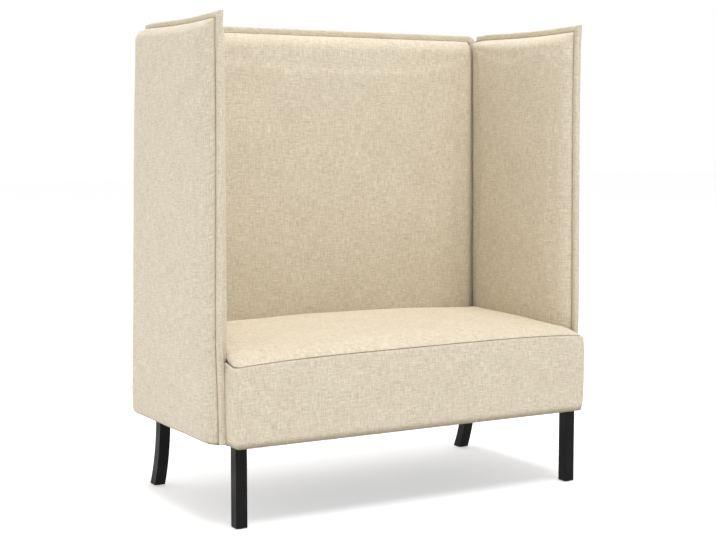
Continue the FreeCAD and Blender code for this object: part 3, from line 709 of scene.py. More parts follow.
def bow_at(height):
    """How far the wings' front edges bow outwards at a height."""
    reach = np.where(height > bow_height, bow_reach_up, bow_reach_down)
    return bow_out * np.exp(-((height - bow_height) / reach) ** 2)


def wing_bend(points, sign):
    """Bend the points of a right wing and place them on one side, which is lifted a little."""
    bent = points.copy()
    height = points[..., 2]
    past_end = (wing_end_y - points[..., 1]) / (wing_end_y - wing_front_y)
    share = np.clip(past_end, 0, 1)
    lean = toe_in * (1 - share) * ramp(height, straight_z, top_z) ** 1.5
    bent[..., 0] += bow_at(height) * share - lean
    middle = np.sin(math.pi * ramp(share, 0.12, 0.98))
    tail = np.exp(-((past_end - 0.01) / 0.045) ** 2)
    drop = top_sag * middle ** 1.2 + tail_drop * tail - point_rise * share ** 10
    bent[..., 2] -= drop * ramp(height, top_z - 0.14, top_z - 0.02) ** 2
    bent[..., 1] -= point_forward * share ** 8 * ramp(height, top_z - 0.08, top_z) ** 2
    bent[..., 2] += sign * side_lift * ramp(height, 0.9, 1.4) ** 2
    bent[..., 0] *= sign
    return bent


def both_wings(name, points, seam, fill, node="", flip=False, closed=False, seeds=(0, 0),
               wall=foam_wall):
    """Make a piece of the right wing and its mirror image on the left."""
    for side, sign, seed in (("_right", 1.0, seeds[0]), ("_left", -1.0, seeds[1])):
        made = grid_mesh(name + side, wing_bend(points, sign), seam,
                         flip=flip if sign > 0 else not flip, closed=closed)
        nodes = [node + side] if node else []
        pad(made, fill, *nodes, seed=seed, wall=wall)


print("bow at the elbow", round(float(bow_at(bow_height)), 4))

# %% [markdown]
# The outer cover of a wing is one cloth: from the seam at the front flange it runs back over the
# foam, round the rear post and in to the seam with the back, and it wraps under the foot rail.
# A grid of its outline at each height gives all this at once, where a box with bevels would not.

# %% Outline of the outer cover at a height
outer_root_x = wing_mid_x + flange_half_thickness
outer_swell = 0.0255
outer_top_roll = 0.028
outer_crown = 0.008
outer_face_depth = 0.53
rear_corner = 0.03
wrap_radius = 0.01
rear_seam_x = outer_low.x + 2 * edge_gap


def outer_outline(z, inset):
    """Outline of the wing's outer cover at a height, drawn in where it turns under the frame."""
    from_top = seam_top_z - z
    swell = outer_swell * float(rolled(from_top, outer_top_roll))
    bulge = float(crown(z - under_z, seam_top_z - under_z)) ** 0.5
    bulge *= outer_crown * float(rolled(from_top, side_roll))
    end_y = rear_y(z) - rear_top_corner * (1 - float(rolled(from_top, rear_top_corner))) - inset
    end_y -= rear_foot_corner * (1 - float(rolled(z - under_z + 0.009, rear_foot_corner)))
    face_x = outer_root_x + swell - inset
    corner = min(rear_corner, max(0.002, (face_x - rear_seam_x) * 0.9))
    length = end_y - corner - front_seam_y
    along = stations(length, side_roll, 0.0)
    x = outer_root_x + swell * rolled(along, side_roll) - inset + bulge * crown(along, length)
    turn = quarter(9)[1:]
    round_x = x[-1] - corner * (1 - np.cos(turn))
    inward = np.linspace(0, 1, 5)[1:]
    rear_x = round_x[-1] + (rear_seam_x - round_x[-1]) * inward
    y = np.concatenate([front_seam_y + along, end_y - corner + corner * np.sin(turn),
                        end_y - 0.003 * inward ** 4])
    x = np.maximum(np.concatenate([x, round_x, rear_x]), rear_seam_x)
    return np.column_stack([x, y, np.full(len(x), z)])


def resampled_rows(rows):
    """Rows of equal length: the outline with the most points sets the shares along every one."""
    count = max(len(row) for row in rows)
    steps = steps_along(next(row for row in rows if len(row) == count))
    even = []
    for row in rows:
        own = steps_along(row)
        even.append(row if len(row) == count else np.column_stack(
            [np.interp(steps / steps[-1], own / own[-1], line) for line in row.T]))
    return np.array(even)


# %% Rows of the outer cover
heights = under_z + stations(seam_top_z - under_z, 0.0, side_roll, spacing=0.02)
under_rows = [(under_z, inset) for inset in (0.036, 0.028, 0.019)]
under_rows += [(under_z + wrap_radius * rest, wrap_radius * turned)
               for turned, rest in arc(6)[::-1]]
rows = [outer_outline(z, inset) for z, inset in under_rows]
rows += [outer_outline(z, 0.0) for z in heights if z > under_z + wrap_radius + 0.004]
outer_points = resampled_rows(rows)
print("rows and columns of the outer cover", outer_points.shape[:2])

# %% Outer cover of the wings
x, y, z = np.moveaxis(outer_points, 2, 0)
from_front = y - front_seam_y
from_top = seam_top_z - z
loose = slack(y, z, "wing_outer") * rolled(from_front, 0.08) * rolled(from_top, 0.08)
to_rear = ramp(y, wing_front_y, wing_end_y)
untoed = 0.6 * toe_in * to_rear * ramp(z, straight_z, top_z) ** 1.5
untoed *= (1 - np.exp(-from_top / 0.002)) * (from_front < outer_face_depth)
shoulder = 0.0036 + 0.002 * to_rear ** 2
# Painted shade along the front, top and rear seams of the outer cover.
outer_painted_shade = np.maximum(near_seam(from_front), near_seam(from_top))
outer_painted_shade[:, -1] = 1.0
x += loose + untoed
z += shoulder * np.sin(math.pi * np.sqrt(np.clip(from_top / 0.016, 0, 1)))
# Painted shade under the hem, fading upwards from the bottom of the wing.
outer_painted_shade += hem_mark(z - under_z, 0.008) + 0.45 * np.exp(-(z - under_z) / 0.035)
both_wings("wing_outer_cover", outer_points, outer_painted_shade, 0.8, "wing_outer_panel", seeds=(89, 83))

# %% [markdown]
# Behind the flange's end the top of the rear post shows from above. A small patch of the same
# cloth is folded over it, between the outer cover and the cloth of the back. Only its top shows,
# so a small domed grid is enough, and the folds that are tucked under it are left out.

# %% Patch over the rear post
patch_dome = 0.004
patch_front_y = wing_end_y - 0.002
patch_end_y = float(outer_points[-1, :, 1].max()) - 0.0008
patch_inner_x = rear_seam_x - 0.002
patch_outer_x = outer_root_x - 0.0004
patch_corner = (patch_outer_x - patch_inner_x) * 0.85
patch_wall = ("SOLIDIFY", {"thickness": 0.0015, "offset": -1.0})
inward, backward = np.meshgrid(np.linspace(0, 1, 9),
                               np.linspace(patch_front_y, patch_end_y, 13))
past = ramp(backward, patch_end_y - patch_corner, patch_end_y)
width = patch_outer_x - patch_inner_x - patch_corner * (1 - np.sqrt(1 - past ** 2))
dome = patch_dome * (1 - (2 * inward - 1) ** 4)
dome *= 1 - ramp(backward, patch_front_y, patch_end_y) ** 6
patch_points = np.stack([patch_inner_x + inward * width, backward, seam_top_z + dome], axis=2)
both_wings("rear_post_patch", patch_points, np.zeros(inward.shape), 0.5, wall=patch_wall)

# %% [markdown]
# The inner cover of a wing is a pad that faces the people in the seat. It rolls into the front
# and top flanges on a wide radius and into the crease with the back on a tight one. One roll
# would look like a box with round edges, so its depth is the sum of a tight roll and a broad one.

# %% Inner cover of the wings
inner_root_x = wing_mid_x - flange_half_thickness
inner_swell = 0.015
broad_roll = 0.12
inner_crown = 0.004
crease_roll = 0.016
crease_roll_top = 0.006
rear_top_roll = 0.012
# Strength of the painted shade in the crease between a wing and the back.
painted_crease_shade = 0.3
inner_end_y = top_low.y - 2 * edge_gap
inner_length = inner_end_y - front_seam_y


def inner_depth(along):
    """Depth of the wing's inner pad at a distance from the front seam, rolled twice."""
    raised = inner_swell * (rolled(along, side_roll) + rolled(along, broad_roll))
    return raised + inner_crown * np.sqrt(np.clip(crown(along, inner_length), 0, 1))


heights = inner_low.z + stations(seam_top_z - inner_low.z, 0.0, side_roll, spacing=0.02)
along, heights = np.meshgrid(stations(inner_length, side_roll, crease_roll), heights)
from_top, from_crease = seam_top_z - heights, inner_length - along
crease = crease_roll_top + (crease_roll - crease_roll_top) * ramp(from_top, 0.0, 0.06)
rear_share = np.clip(2 * along / inner_length - 1, 0, 1)
top_roll_here = side_roll + (rear_top_roll - side_roll) * rear_share ** 2
edge = rolled(from_crease / crease, 1.0) * rolled(from_top / top_roll_here, 1.0)
lift = inner_depth(along) * edge
lift += 0.9 * bow_at(heights) * (1 - along / inner_length) * rolled(along, 0.01) * edge
lift += slack(along, heights, "wing_inner") * edge * rolled(along, side_roll)
inner_points = np.stack([inner_root_x - lift, front_seam_y + along, heights], axis=2)
# Painted shade along the front and top seams and, fainter, in the crease with the back.
inner_painted_shade = np.maximum(near_seam(along), near_seam(from_top))
inner_painted_shade = np.maximum(inner_painted_shade, painted_crease_shade * near_seam(from_crease, 0.002))
both_wings("wing_inner_cover", inner_points, inner_painted_shade, 0.8, "wing_inner_panel", flip=True,
           seeds=(101, 97))

# %% [markdown]
# The pad of the back stands between the wings. Its top corners are cut round, like the flange
# above it, and its sides roll into the creases. A box with a bevel has one radius for all its
# edges, and here the top, the sides and the corners each need their own, so it is a grid again.

# %% Inner cover of the back
back_root_y = top_low.y - edge_gap
back_half = back_high.x - 0.0085
back_swell = 0.026
back_crown = 0.013
back_corner = 0.012
back_side_roll = 0.036
back_taper = 0.01
back_foot = back_low.z
full_height = seam_top_z - back_foot

along, rise = np.meshgrid(stations(2 * back_half, back_side_roll, back_side_roll),
                          stations(full_height, 0.0, side_roll, spacing=0.02))
side_x, from_top = along - back_half, full_height - rise
past = np.clip(np.abs(side_x) - (back_half - back_corner), 0.0, back_corner)
corner_drop = back_corner - np.sqrt(back_corner ** 2 - past ** 2)
heights = back_foot + rise * (full_height - corner_drop) / full_height
from_side = back_half - np.abs(side_x)
side_x *= 1 - back_taper / back_half * np.exp(-from_top / 0.05)
edge = rolled(from_side, back_side_roll) * rolled(from_top, side_roll)
lift = back_swell * edge + back_crown * crown(along, 2 * back_half) * rolled(from_top, 0.14)
lift += slack(along, heights, "back") * edge
back_points = np.stack([side_x, back_root_y - lift, heights], axis=2)
# Painted shade along the top seam and, fainter, in the creases with the wings.
back_painted_shade = np.maximum(near_seam(from_top), painted_crease_shade * near_seam(from_side, 0.002))
pad(grid_mesh("back_inner_cover", back_points, back_painted_shade), 0.8, "back_inner_panel", seed=103)

# %% [markdown]
# Behind, one flat cloth is drawn over the back frame: from the flange it crosses the top rail,
# turns down the rear face and wraps under the foot rail. It bends only one way, so its profile
# is drawn once and repeated from side to side.

# %% Rear cover of the back
rear_half = rear_seam_x - 0.0004
ledge_radius = 0.012
ledge_y = rear_y(seam_top_z)
foot_z = under_z + wrap_radius
profile = [(top_high.y + edge_gap, seam_top_z)]
profile += [(top_high.y + (ledge_y - ledge_radius - top_high.y) * share,
             seam_top_z + 0.002 * math.sin(math.pi * share) - 0.001 * share)
            for share in (0.1, 0.25, 0.5, 0.75)]
profile += [(ledge_y - ledge_radius * turned, seam_top_z - ledge_radius * rest)
            for turned, rest in arc(7)[::-1]]
profile += [(rear_y(z), z) for z in np.linspace(seam_top_z - ledge_radius, foot_z, 58)[1:-1]]
profile += [(rear_y(foot_z) - wrap_radius * turned, foot_z - wrap_radius * (1 - rest))
            for turned, rest in arc(6)]
profile += [(rear_y(foot_z) - depth, under_z) for depth in (0.018, 0.028, 0.04)]
profile = np.array(profile)[::-1]
across = stations(2 * rear_half, 0.01, 0.01, spacing=0.02, steps=5) - rear_half
x, y = np.meshgrid(across, profile[:, 0])
z = np.repeat(profile[:, 1:], len(across), axis=1)
on_face = ramp(y, top_high.y, top_high.y + 0.02)
y -= 0.003 * (1 - rolled(rear_half - np.abs(x), 0.01)) * on_face
y += slack(x, z, "rear") * on_face
# Painted shade along the seams at both sides and at the flange.
rear_painted_shade = np.zeros(x.shape)
rear_painted_shade[:, 0] = rear_painted_shade[:, -1] = rear_painted_shade[-1] = 1.0
pad(grid_mesh("back_rear_cover", np.stack([x, y, z], axis=2), rear_painted_shade, flip=True), 0.5,
    "back_outer_panel")

# %% [markdown]
# The flanges are flat folded bands, sewn between the covers and standing proud of them. Each is
# one section, a flattened loop with a soft fold, carried along a path. The wing's path has one
# sharp corner, where the band comes to a point, and the back's path has two round ones. A curve
# with a bevel would pinch at the sharp corner, so each line of the section gets its own path.

# %% Section and sweep of a flange
fold_radius = 0.0045
flange_tuck = 0.026


def flange_ring(half_thickness):
    """Closed loop of the flange's section: distance in from its edge, and sideways offset."""
    upper = [(flange_tuck, 0.72 * half_thickness), (0.02, 0.9 * half_thickness),
             (0.0125, half_thickness)]
    upper += [(fold_radius * rest, half_thickness - fold_radius * turned)
              for turned, rest in arc(4)]
    upper.append((0.0, 0.0))
    return upper + [(inward, -offset) for inward, offset in upper[-2::-1]]


ring = flange_ring(flange_half_thickness)


def flange_gap_shade(count, root):
    """Painted shade of a flange: dark where it goes down between the covers, out of the light."""
    return np.tile([1.0 if inward > root else 0.0 for inward, _ in ring], (count, 1))


print("points of the flange's section", len(ring))

# %% Flanges of the wings
foot_round = 0.016
tail_length = 0.009


def wing_flange_path(inward, steps_up=64, steps_back=40):
    """Path of one line of the wing's flange, from its foot to the point and back along the top."""
    z_corner = top_z - inward
    foot = under_z + 0.001
    up = 1 - (1 - np.linspace(0, 1, steps_up)) ** 1.5
    up = np.concatenate([[0.0, 0.002, 0.005, 0.009], 0.013 + 0.987 * up])
    up = up * (z_corner - foot) + foot
    up = np.concatenate([up[:-1], [z_corner - 0.004, z_corner - 0.0008, z_corner]])
    short = 1 - ramp(up, foot, foot + foot_round)
    cut = flange_reach_front * (1 - np.sqrt(1 - short ** 2))
    y_front = wing_front_y + inward + cut * (1 - inward / flange_tuck)
    back = np.concatenate([[0.0012, 0.006], np.linspace(0, 1, steps_back)[2:] ** 1.5])
    y_back = y_front[-1] + (wing_end_y + tail_length - y_front[-1]) * back
    return np.column_stack([np.concatenate([y_front, y_back]),
                            np.concatenate([up, np.full(len(y_back), z_corner)])])


paths = np.stack([wing_flange_path(inward) for inward, _ in ring], axis=1)
ends = np.ones((len(paths), 1))
ends[-2:, 0] = (0.97, 0.8)
ends[:3, 0] = (0.62, 0.84, 0.96)
offsets = np.array([offset for _, offset in ring])
ripple = slack(paths[..., 0], paths[..., 1], "wing_flange")
flange_points = np.dstack([wing_mid_x + offsets * ends + ripple, paths])
both_wings("wing_flange_band", flange_points, flange_gap_shade(len(paths), flange_reach_front), 0.7,
           "wing_flange", closed=True, wall=None)

# %% Flange of the back
band_half = top_high.x - 0.003
band_corner = 0.028
back_mid_y = (top_low.y + top_high.y) / 2
mirror_x = np.array([-1.0, 1.0])


def round_corner(side, head, radius):
    """Points of the upper left corner of a band, from its side to its top."""
    return np.array([-side, head]) + radius * np.array([(turned, -rest) for turned, rest in arc(9)])


def back_flange_path(inward):
    """Path of one line of the back's flange: up one side, round two corners and down the other."""
    radius = max(band_corner - inward, 0.003)
    side, head = band_half - inward, top_z - inward
    up = np.linspace(top_low.z, head - radius, 40)[:-1]
    across = np.linspace(-side + radius, side - radius, 60)[1:30]
    left = np.column_stack([np.full(len(up), -side), up])
    top = np.column_stack([across, np.full(len(across), head)])
    half_path = np.concatenate([left, round_corner(side, head, radius), top])
    return np.concatenate([half_path, half_path[::-1] * mirror_x])


paths = np.stack([back_flange_path(inward) for inward, _ in ring], axis=1)
ripple = slack(paths[..., 0], paths[..., 1], "back_flange")
band_points = np.stack([paths[..., 0], back_mid_y + offsets + ripple, paths[..., 1]], axis=2)
band = grid_mesh("back_flange_band", band_points, flange_gap_shade(len(paths), flange_reach_top),
                 closed=True)
pad(band, 0.7, "back_flange", wall=None)

# %% [markdown]
# A row of stitches holds each flange beside its seam. Stitches repeat along a path, so Geometry
# Nodes lay them: the path is cut into even steps, each step gets one plump stitch turned along
# the path, and the result becomes a plain mesh. The staples of the dust cover use a like tree.


# %% Node tree that repeats a small shape along a path
def repeat_tree(name, inputs, shape_nodes):
    """Node tree with a path in, named inputs, and a repeated shape out."""
    tree = bpy.data.node_groups.new(name, "GeometryNodeTree")
    sockets = [("Path", "Geometry"), ("Pitch", "Float"), *inputs, ("Finish", "Material")]
    for label, kind in sockets:
        tree.interface.new_socket(label, in_out="INPUT", socket_type="NodeSocket" + kind)
    tree.interface.new_socket("Geometry", in_out="OUTPUT", socket_type="NodeSocketGeometry")
    given = add_node(tree, "NodeGroupInput").outputs
    curve = add_node(tree, "GeometryNodeMeshToCurve", {"Mesh": given["Path"]})
    steps = add_node(tree, "GeometryNodeCurveToPoints", {
        "Curve": curve.outputs["Curve"], "Length": given["Pitch"]}, mode="LENGTH")
    laid = add_node(tree, "GeometryNodeInstanceOnPoints", {
        "Points": steps.outputs["Points"], **shape_nodes(tree, given, steps.outputs)})
    real = add_node(tree, "GeometryNodeRealizeInstances", {"Geometry": laid.outputs["Instances"]})
    dress = add_node(tree, "GeometryNodeSetMaterial", {
        "Geometry": real.outputs["Geometry"], "Material": given["Finish"]})
    add_node(tree, "NodeGroupOutput", {"Geometry": dress.outputs["Geometry"]})
    return tree


def stitch_nodes(tree, given, steps):
    """Plump stitch, as long as its path's step allows, turned along the path."""
    ball = add_node(tree, "GeometryNodeMeshUVSphere", {"Segments": 6, "Rings": 4, "Radius": 0.5})
    size = add_node(tree, "ShaderNodeCombineXYZ", {
        "X": given["Thread Thickness"], "Y": given["Thread Thickness"],
        "Z": given["Stitch Length"]})
    return {"Instance": ball.outputs["Mesh"], "Rotation": steps["Rotation"],
            "Scale": size.outputs["Vector"]}


def repeated(name, lines, tree, slot, values):
    """Lay a tree's shape along lines of points and keep the plain mesh as a piece."""
    points, edges = [], []
    for line in lines:
        edges += [(len(points) + step, len(points) + step + 1) for step in range(len(line) - 1)]
        points += [tuple(point) for point in line]
    mesh = bpy.data.meshes.new(name)
    mesh.from_pydata(points, edges, [])
    made = placed(name, mesh)
    modifier = made.modifiers.new("repeat", "NODES")
    modifier.node_group = tree
    for item in tree.interface.items_tree:
        if item.item_type == "SOCKET" and item.in_out == "INPUT" and item.name in values:
            modifier[item.identifier] = values[item.name]
    settled(made)
    dressed(made, slot, keep_finish=True)


stitches = repeat_tree("seam_stitches", [("Stitch Length", "Float"),
                                         ("Thread Thickness", "Float")], stitch_nodes)
print("nodes of the stitch tree", len(stitches.nodes))

# %% Stitches along the flanges
stitch_sizes = {"Pitch": 0.006, "Stitch Length": 0.0042, "Thread Thickness": 0.001,
                "Finish": sewing_thread}
stitch_inset = 0.002
stitch_out = flange_half_thickness * 0.985
corner_z = seam_top_z + stitch_inset


def across_flange(middle, line, flange):
    """Where a line of stitches lies across its flange, for each of the flange's two faces."""
    wave = slack(line[:, 0], line[:, 1], flange)
    return [middle + face * stitch_out + wave for face in (-1.0, 1.0)]


front_y = front_seam_y - stitch_inset
up_front = [(front_y, z) for z in np.linspace(under_z + 0.022, corner_z, 120)]
wing_line = np.array(up_front + [(y, corner_z) for y in np.linspace(front_y, wing_end_y, 60)[1:]])
for side, sign in (("right", 1.0), ("left", -1.0)):
    rows = [wing_bend(np.column_stack([x, wing_line]), sign)
            for x in across_flange(wing_mid_x, wing_line, "wing_flange")]
    repeated("wing_seam_stitches_" + side, rows, stitches, "linen_cover", stitch_sizes)

half = band_half - flange_reach_top + stitch_inset
radius = band_corner - flange_reach_top + stitch_inset
corner = round_corner(half, corner_z, radius)
top = [(x, corner_z) for x in np.linspace(-half + radius, half - radius, 90)[1:-1]]
back_line = np.concatenate([corner, top, corner[::-1] * mirror_x])
rows = [np.column_stack([back_line[:, 0], y, back_line[:, 1]])
        for y in across_flange(back_mid_y, back_line, "back_flange")]
repeated("back_seam_stitches", rows, stitches, "linen_cover", stitch_sizes)

# %% [markdown]
# The seat is a tight crowned deck sewn to a border that goes round its front. The two meet in a
# plain seam, which lies in a shallow groove, lower at its two ends than in the middle. The line
# of the seam is one function that border and deck both read, so that no gap can open between.

# %% The seam line of the seat
half_seat = border_high.x
seat_reach = 0.6
return_end_y = front_seam_y - 0.003
foot_corner = 0.009
seam_corner = 0.026
side_bulge, front_bulge = 0.0055, 0.002
gap_fill = 0.004
seam_draw = 0.005


def seat_seam_z(x):
    """Height of the seam along the front of the seat."""
    share = np.asarray(x, float) / seat_reach
    return 0.4755 + 0.0055 * share - 0.012 * share ** 4


def return_rise(depth):
    """How much the seam rises at the sides of the seat, where it goes back to the wing."""
    return 0.0105 * ramp(depth, 0.034, 0.079)


def border_plan(radius, inset=0.0):
    """Outline of the seat from above, with its outward directions, for one corner radius."""
    radius = max(0.003, radius - inset)
    left, front = -half_seat + inset, seat_front_y + inset
    plan = [(left, y, -1.0, 0.0) for y in np.linspace(return_end_y, front + radius, 6)[:-1]]
    plan += [(left + radius * turned, front + radius * rest, turned - 1, rest - 1)
             for turned, rest in arc(9)]
    plan += [(x, front, 0.0, -1.0) for x in np.linspace(left + radius, 0.0, 44)[1:]]
    plan = np.array(plan)
    return np.concatenate([plan, plan[-2::-1] * np.array([-1.0, 1.0, -1.0, 1.0])])


print("seam at the middle", float(seat_seam_z(0.0)), "and left end", float(seat_seam_z(-half_seat)))

# %% One row of the border
hem_radius = 0.009
hem_z = under_z - 0.004
top_roll = 0.015
body_part = 0.93


def border_row(share, inset, z, radius=foot_corner, loose=1.0):
    """One row of the border: its outline at a share of its height, drawn in by an inset."""
    x, y, out_x, out_y = border_plan(radius, inset).T
    bulge = 1 - abs(2 * share - 1) ** 6
    out = bulge * (side_bulge * np.abs(out_x) + front_bulge * np.abs(out_y))
    out += gap_fill * ramp(y, return_end_y - 0.006, return_end_y)
    out *= loose
    return np.column_stack([x + out_x * out, y + out_y * out, np.broadcast_to(z, x.shape)])


# %% Seat border
plan = border_plan(seam_corner)
border_top = seat_seam_z(plan[:, 0]) + return_rise(plan[:, 1] - seat_front_y)
border_rows = [border_row(0.0, inset, hem_z) for inset in (0.03, 0.022, 0.015)]
border_rows += [border_row(0.0, hem_radius * turned, hem_z + hem_radius * rest)
                for turned, rest in arc(6)[::-1]]
body_z = hem_z + hem_radius
border_rows += [border_row(body_part * share, 0.0,
                           body_z + (border_top - top_roll - body_z) * share)
                for share in np.linspace(0, 1, 15)[1:-1]]
border_rows += [border_row(body_part, seam_draw * turned ** 1.2, border_top - top_roll * rest,
                           foot_corner + (seam_corner - foot_corner) * turned, 1 - turned)
                for turned, rest in arc(8)]
border_points = np.array(border_rows)
wave = slack(border_points[..., 0], border_points[..., 2], "border")
wave *= np.clip((border_points[..., 2] - under_z) / 0.04, 0.15, 1.0)
border_points[..., :2] += plan[None, :, 2:] * wave[..., None]
# Painted shade: a strong dark line in the seam with the deck, and darker where the hem curls under.
border_painted_shade = 2 * near_seam(border_top[None, :] - border_points[..., 2], 0.0026)
border_painted_shade += hem_mark(border_points[..., 2] - hem_z)
pad(grid_mesh("seat_border_cover", border_points, border_painted_shade), 0.7, "seat_border", seed=107,
    cap=0.0022)

# %% How the deck rises and how wide it is
deck_front = seat_front_y + seam_draw
deck_length = deck_high.y + 0.012 - deck_front
side_base = 0.462
side_rise = 0.045
front_crown = 0.013
rear_crown = 0.005
edge_drop, edge_roll = 0.012, 0.02
rear_drop, rear_roll = 0.016, 0.022
front_depths = (0.0, 0.0008, 0.0025, 0.005, 0.009, 0.014, 0.02, 0.027, 0.036, 0.047)


def deck_rise(share):
    """Share of the rise from the front seam to the top of the deck, steep at the front."""
    return (1 - np.exp(-3.0 * np.maximum(share, 0.0) ** 0.7)) / (1 - math.exp(-3.0))


def deck_half_width(depth):
    """Half width of the deck: round the front corners, then along the inner cover of the wing."""
    beyond = depth + deck_front - front_seam_y
    radius = seam_corner - seam_draw
    short = np.clip(radius - depth, 0.0, radius)
    corner = radius - np.sqrt(radius ** 2 - short ** 2)
    beside_pad = inner_root_x - inner_depth(beyond) + 0.0015
    return np.minimum(half_seat - seam_draw - corner, np.where(beyond > 0.0, beside_pad, 1.0))


# %% Seat deck
depth = np.concatenate([front_depths, np.linspace(0.06, deck_length, 42)])
side = np.linspace(-1.0, 1.0, 91)
side = np.sign(side) * (1 - (1 - np.abs(side)) ** 1.5)
side, depth = np.meshgrid(side, depth)
half = deck_half_width(depth)
x = side * half
rise = deck_rise(depth / deck_length)
across = 1 - np.abs(x / seat_reach) ** 1.7
start = side_base + front_crown * across
body = side_base + side_rise * rise + (front_crown + rear_crown * rise) * across
body += (seat_seam_z(x) - start) * np.exp(-depth / 0.07)
from_edge = half - np.abs(x)
beside_wing = ramp(depth + deck_front - wing_front_y, 0.002, 0.022)
return_z = seat_seam_z(x) + return_rise(depth + seam_draw)
edge_z = return_z * (1 - beside_wing) + (body - edge_drop) * beside_wing
body = edge_z + (body - edge_z) * rolled(from_edge, edge_roll)
body -= rear_drop * (1 - rolled(deck_length - depth, rear_roll))
body += slack(x, depth, "deck") * rolled(depth, 0.05) * rolled(from_edge, 0.05)
front_lip = rolled(depth, 0.01)
body = seat_seam_z(x) * (1 - front_lip) + np.maximum(body, seat_seam_z(x)) * front_lip
deck_points = np.stack([x, deck_front + depth, body], axis=2)
tucked_lip = deck_points[:1] + np.array([0.0, 0.002, -0.008])
deck_points = np.concatenate([tucked_lip, deck_points])
# Painted shade in the seam with the border, darkest on the lip tucked into it.
deck_painted_shade = 2 * np.concatenate([np.ones((1, x.shape[1])), near_seam(depth, 0.002)])
pad(grid_mesh("seat_deck_cover", deck_points, deck_painted_shade), 0.9, "seat_cushion", seed=109,
    cap=0.003)

# %% [markdown]
# The legs are square and lacquered black. The front ones are straight and the rear ones sweep
# back on one arc. The frame has both as plain solids, and here they get soft edges. A box
# that is only sheared back gets thinner, so the leg is a stack of square slices along the arc.

# %% A bar of stacked rings with eased edges
leg_ease = ("BEVEL", {"width": 0.0016, "segments": 3, "limit_method": "ANGLE",
                      "angle_limit": math.radians(40)})
rear_leg_sweep = 0.052


def stacked(name, rings):
    """Closed bar from a stack of rings of four points."""
    mesh = bpy.data.meshes.new(name)
    points = [point for ring in rings for point in ring]
    faces = [(3, 2, 1, 0), tuple(range(len(points) - 4, len(points)))]
    for start in range(0, len(points) - 4, 4):
        for corner in range(4):
            beside = (corner + 1) % 4
            faces.append((start + corner, start + beside, start + 4 + beside, start + 4 + corner))
    mesh.from_pydata(points, [], faces)
    reworked(mesh, turn_outward)
    return placed(name, mesh)


def leg(name, rings, node):
    """Leg with its edges eased."""
    made = stacked(name, rings)
    settled(made, leg_ease)
    made.data.polygons.foreach_set("use_smooth", np.zeros(len(made.data.polygons), bool))
    dressed(made, "leg_lacquer", node)


# %% Legs
for side in ("left", "right"):
    low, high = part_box("front_leg_" + side)
    square = [(low.x, low.y), (high.x, low.y), (high.x, high.y), (low.x, high.y)]
    rings = [[(x, y, z) for x, y in square] for z in (low.z, high.z)]
    leg("front_leg_turned_" + side, rings, "front_leg_" + side)
    low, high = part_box("rear_leg_" + side)
    drop = high.z - low.z
    half_side = (high.x - low.x) / 2
    radius = (drop ** 2 + rear_leg_sweep ** 2) / (2 * rear_leg_sweep)
    turn_y = low.y + half_side + radius
    corners = [(low.x, radius + half_side), (high.x, radius + half_side),
               (high.x, radius - half_side), (low.x, radius - half_side)]
    rings = []
    for share in np.linspace(1.0, 0.0, 17):
        turns = [(x, reach, share * math.asin(drop / reach)) for x, reach in corners]
        rings.append([(x, turn_y - reach * math.cos(angle), high.z - reach * math.sin(angle))
                      for x, reach, angle in turns])
    leg("rear_leg_swept_" + side, rings, "rear_leg_" + side)

# %% [markdown]
# Under the seat a thin black cloth closes the frame. It is a flat sheet, cut away round the four
# legs and stapled along its edges. It is drawn tight, so a slight sag in the middle is all that
# gravity does to it, and it needs no simulation.

# %% Size and notches of the dust cover
dust_low, dust_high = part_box("dust_cover")
dust_z = (dust_low.z + dust_high.z) / 2
notch = 0.062
dust_sag = 0.0016
cloth_width = dust_high.x - dust_low.x
cloth_length = dust_high.y - dust_low.y


def notched(low, high, count):
    """Lines of the sheet's grid between two edges: one at each edge, the rest clear of the legs."""
    return np.concatenate([[low], np.linspace(low + notch, high - notch, count), [high]])


def drop_loose(work):
    loose = [vertex for vertex in work.verts if not vertex.link_faces]
    bmesh.ops.delete(work, geom=loose, context="VERTS")


# %% Dust cover
x, y = np.meshgrid(notched(dust_low.x, dust_high.x, 60), notched(dust_low.y, dust_high.y, 28))
sag = dust_sag * np.sin(math.pi * (x - dust_low.x) / cloth_width)
sag *= np.sin(math.pi * (y - dust_low.y) / cloth_length)
rows, columns = x.shape
faces = [(row * columns + column, (row + 1) * columns + column,
          (row + 1) * columns + column + 1, row * columns + column + 1)
         for row in range(rows - 1) for column in range(columns - 1)
         if row not in (0, rows - 2) or column not in (0, columns - 2)]
mesh = bpy.data.meshes.new("dust_cover_sheet")
mesh.from_pydata(np.stack([x, y, dust_z - sag], axis=2).reshape(-1, 3).tolist(), [], faces)
reworked(mesh, drop_loose)
dust_sheet = placed("dust_cover_sheet", mesh)
settled(dust_sheet, ("SOLIDIFY", {"thickness": 0.0006, "offset": 0.0}))
dressed(dust_sheet, "dust_cloth", "dust_cover")
print("dust cover", round(cloth_width, 4), "by", round(cloth_length, 4))

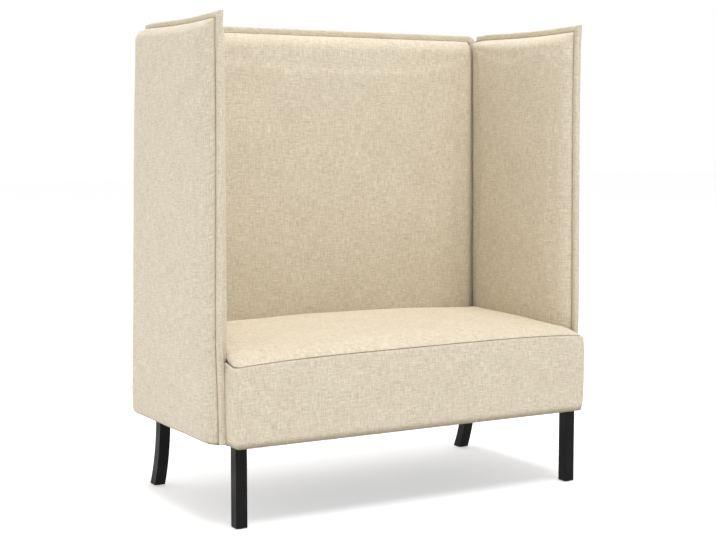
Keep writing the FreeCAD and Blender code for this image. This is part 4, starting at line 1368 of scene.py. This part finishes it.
# %% Shape of one staple
staple_pitch = 0.04
staple_inset = 0.008
half_crown, leg_drop, bend = 0.006, 0.004, 0.0006
wire_wide, wire_thick = 0.0006, 0.00035
half_wire = [((-half_crown, leg_drop), (1.0, 0.0)), ((-half_crown, 0.0004), (0.9, 0.45)),
             ((bend - half_crown, 0.0), (0.45, 0.9))]
wire = half_wire + [((-x, z), (-lean_x, lean_z)) for (x, z), (lean_x, lean_z) in half_wire[::-1]]
section = [(-wire_wide, -wire_thick), (wire_wide, -wire_thick), (wire_wide, wire_thick),
           (-wire_wide, wire_thick)]
staple = stacked("staple_shape", [
    [(x + thick * lean_x, wide, z + thick * lean_z) for wide, thick in section]
    for (x, z), (lean_x, lean_z) in wire])


def staple_nodes(tree, given, steps):
    """Staple turned along its path, with its crown down."""
    shape = add_node(tree, "GeometryNodeObjectInfo", {"Object": given["Staple"]})
    turned = add_node(tree, "FunctionNodeAlignRotationToVector", {"Vector": steps["Tangent"]},
                      axis="X", pivot_axis="Z")
    return {"Instance": shape.outputs["Geometry"], "Rotation": turned.outputs["Rotation"]}


# %% Staples of the dust cover
staple_z = dust_z - 0.001
clear = notch + 0.012
lines = []
for y in (dust_low.y + staple_inset, dust_high.y - staple_inset):
    lines.append([(dust_low.x + clear, y, staple_z), (dust_high.x - clear, y, staple_z)])
for x in (dust_low.x + staple_inset, dust_high.x - staple_inset):
    lines.append([(x, dust_low.y + clear, staple_z), (x, dust_high.y - clear, staple_z)])
repeated("dust_cover_staples", lines,
         repeat_tree("staple_rows", [("Staple", "Object")], staple_nodes), "zinc_steel",
         {"Pitch": staple_pitch, "Staple": staple, "Finish": finishes["zinc_steel"]})
bpy.data.objects.remove(staple)

# %% [markdown]
# The dressed settee may stand a little proud of its frame, because cloth and foam do. The two
# boxes are printed side by side, so that they can be compared.

# %% Print the two boxes
visual_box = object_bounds()
boxes = {"cad": [list(corner) for corner in cad_box],
         "visual": [list(corner) for corner in visual_box]}
for name, box in boxes.items():
    print(name, "box", [round(value, 4) for corner in box for value in corner])
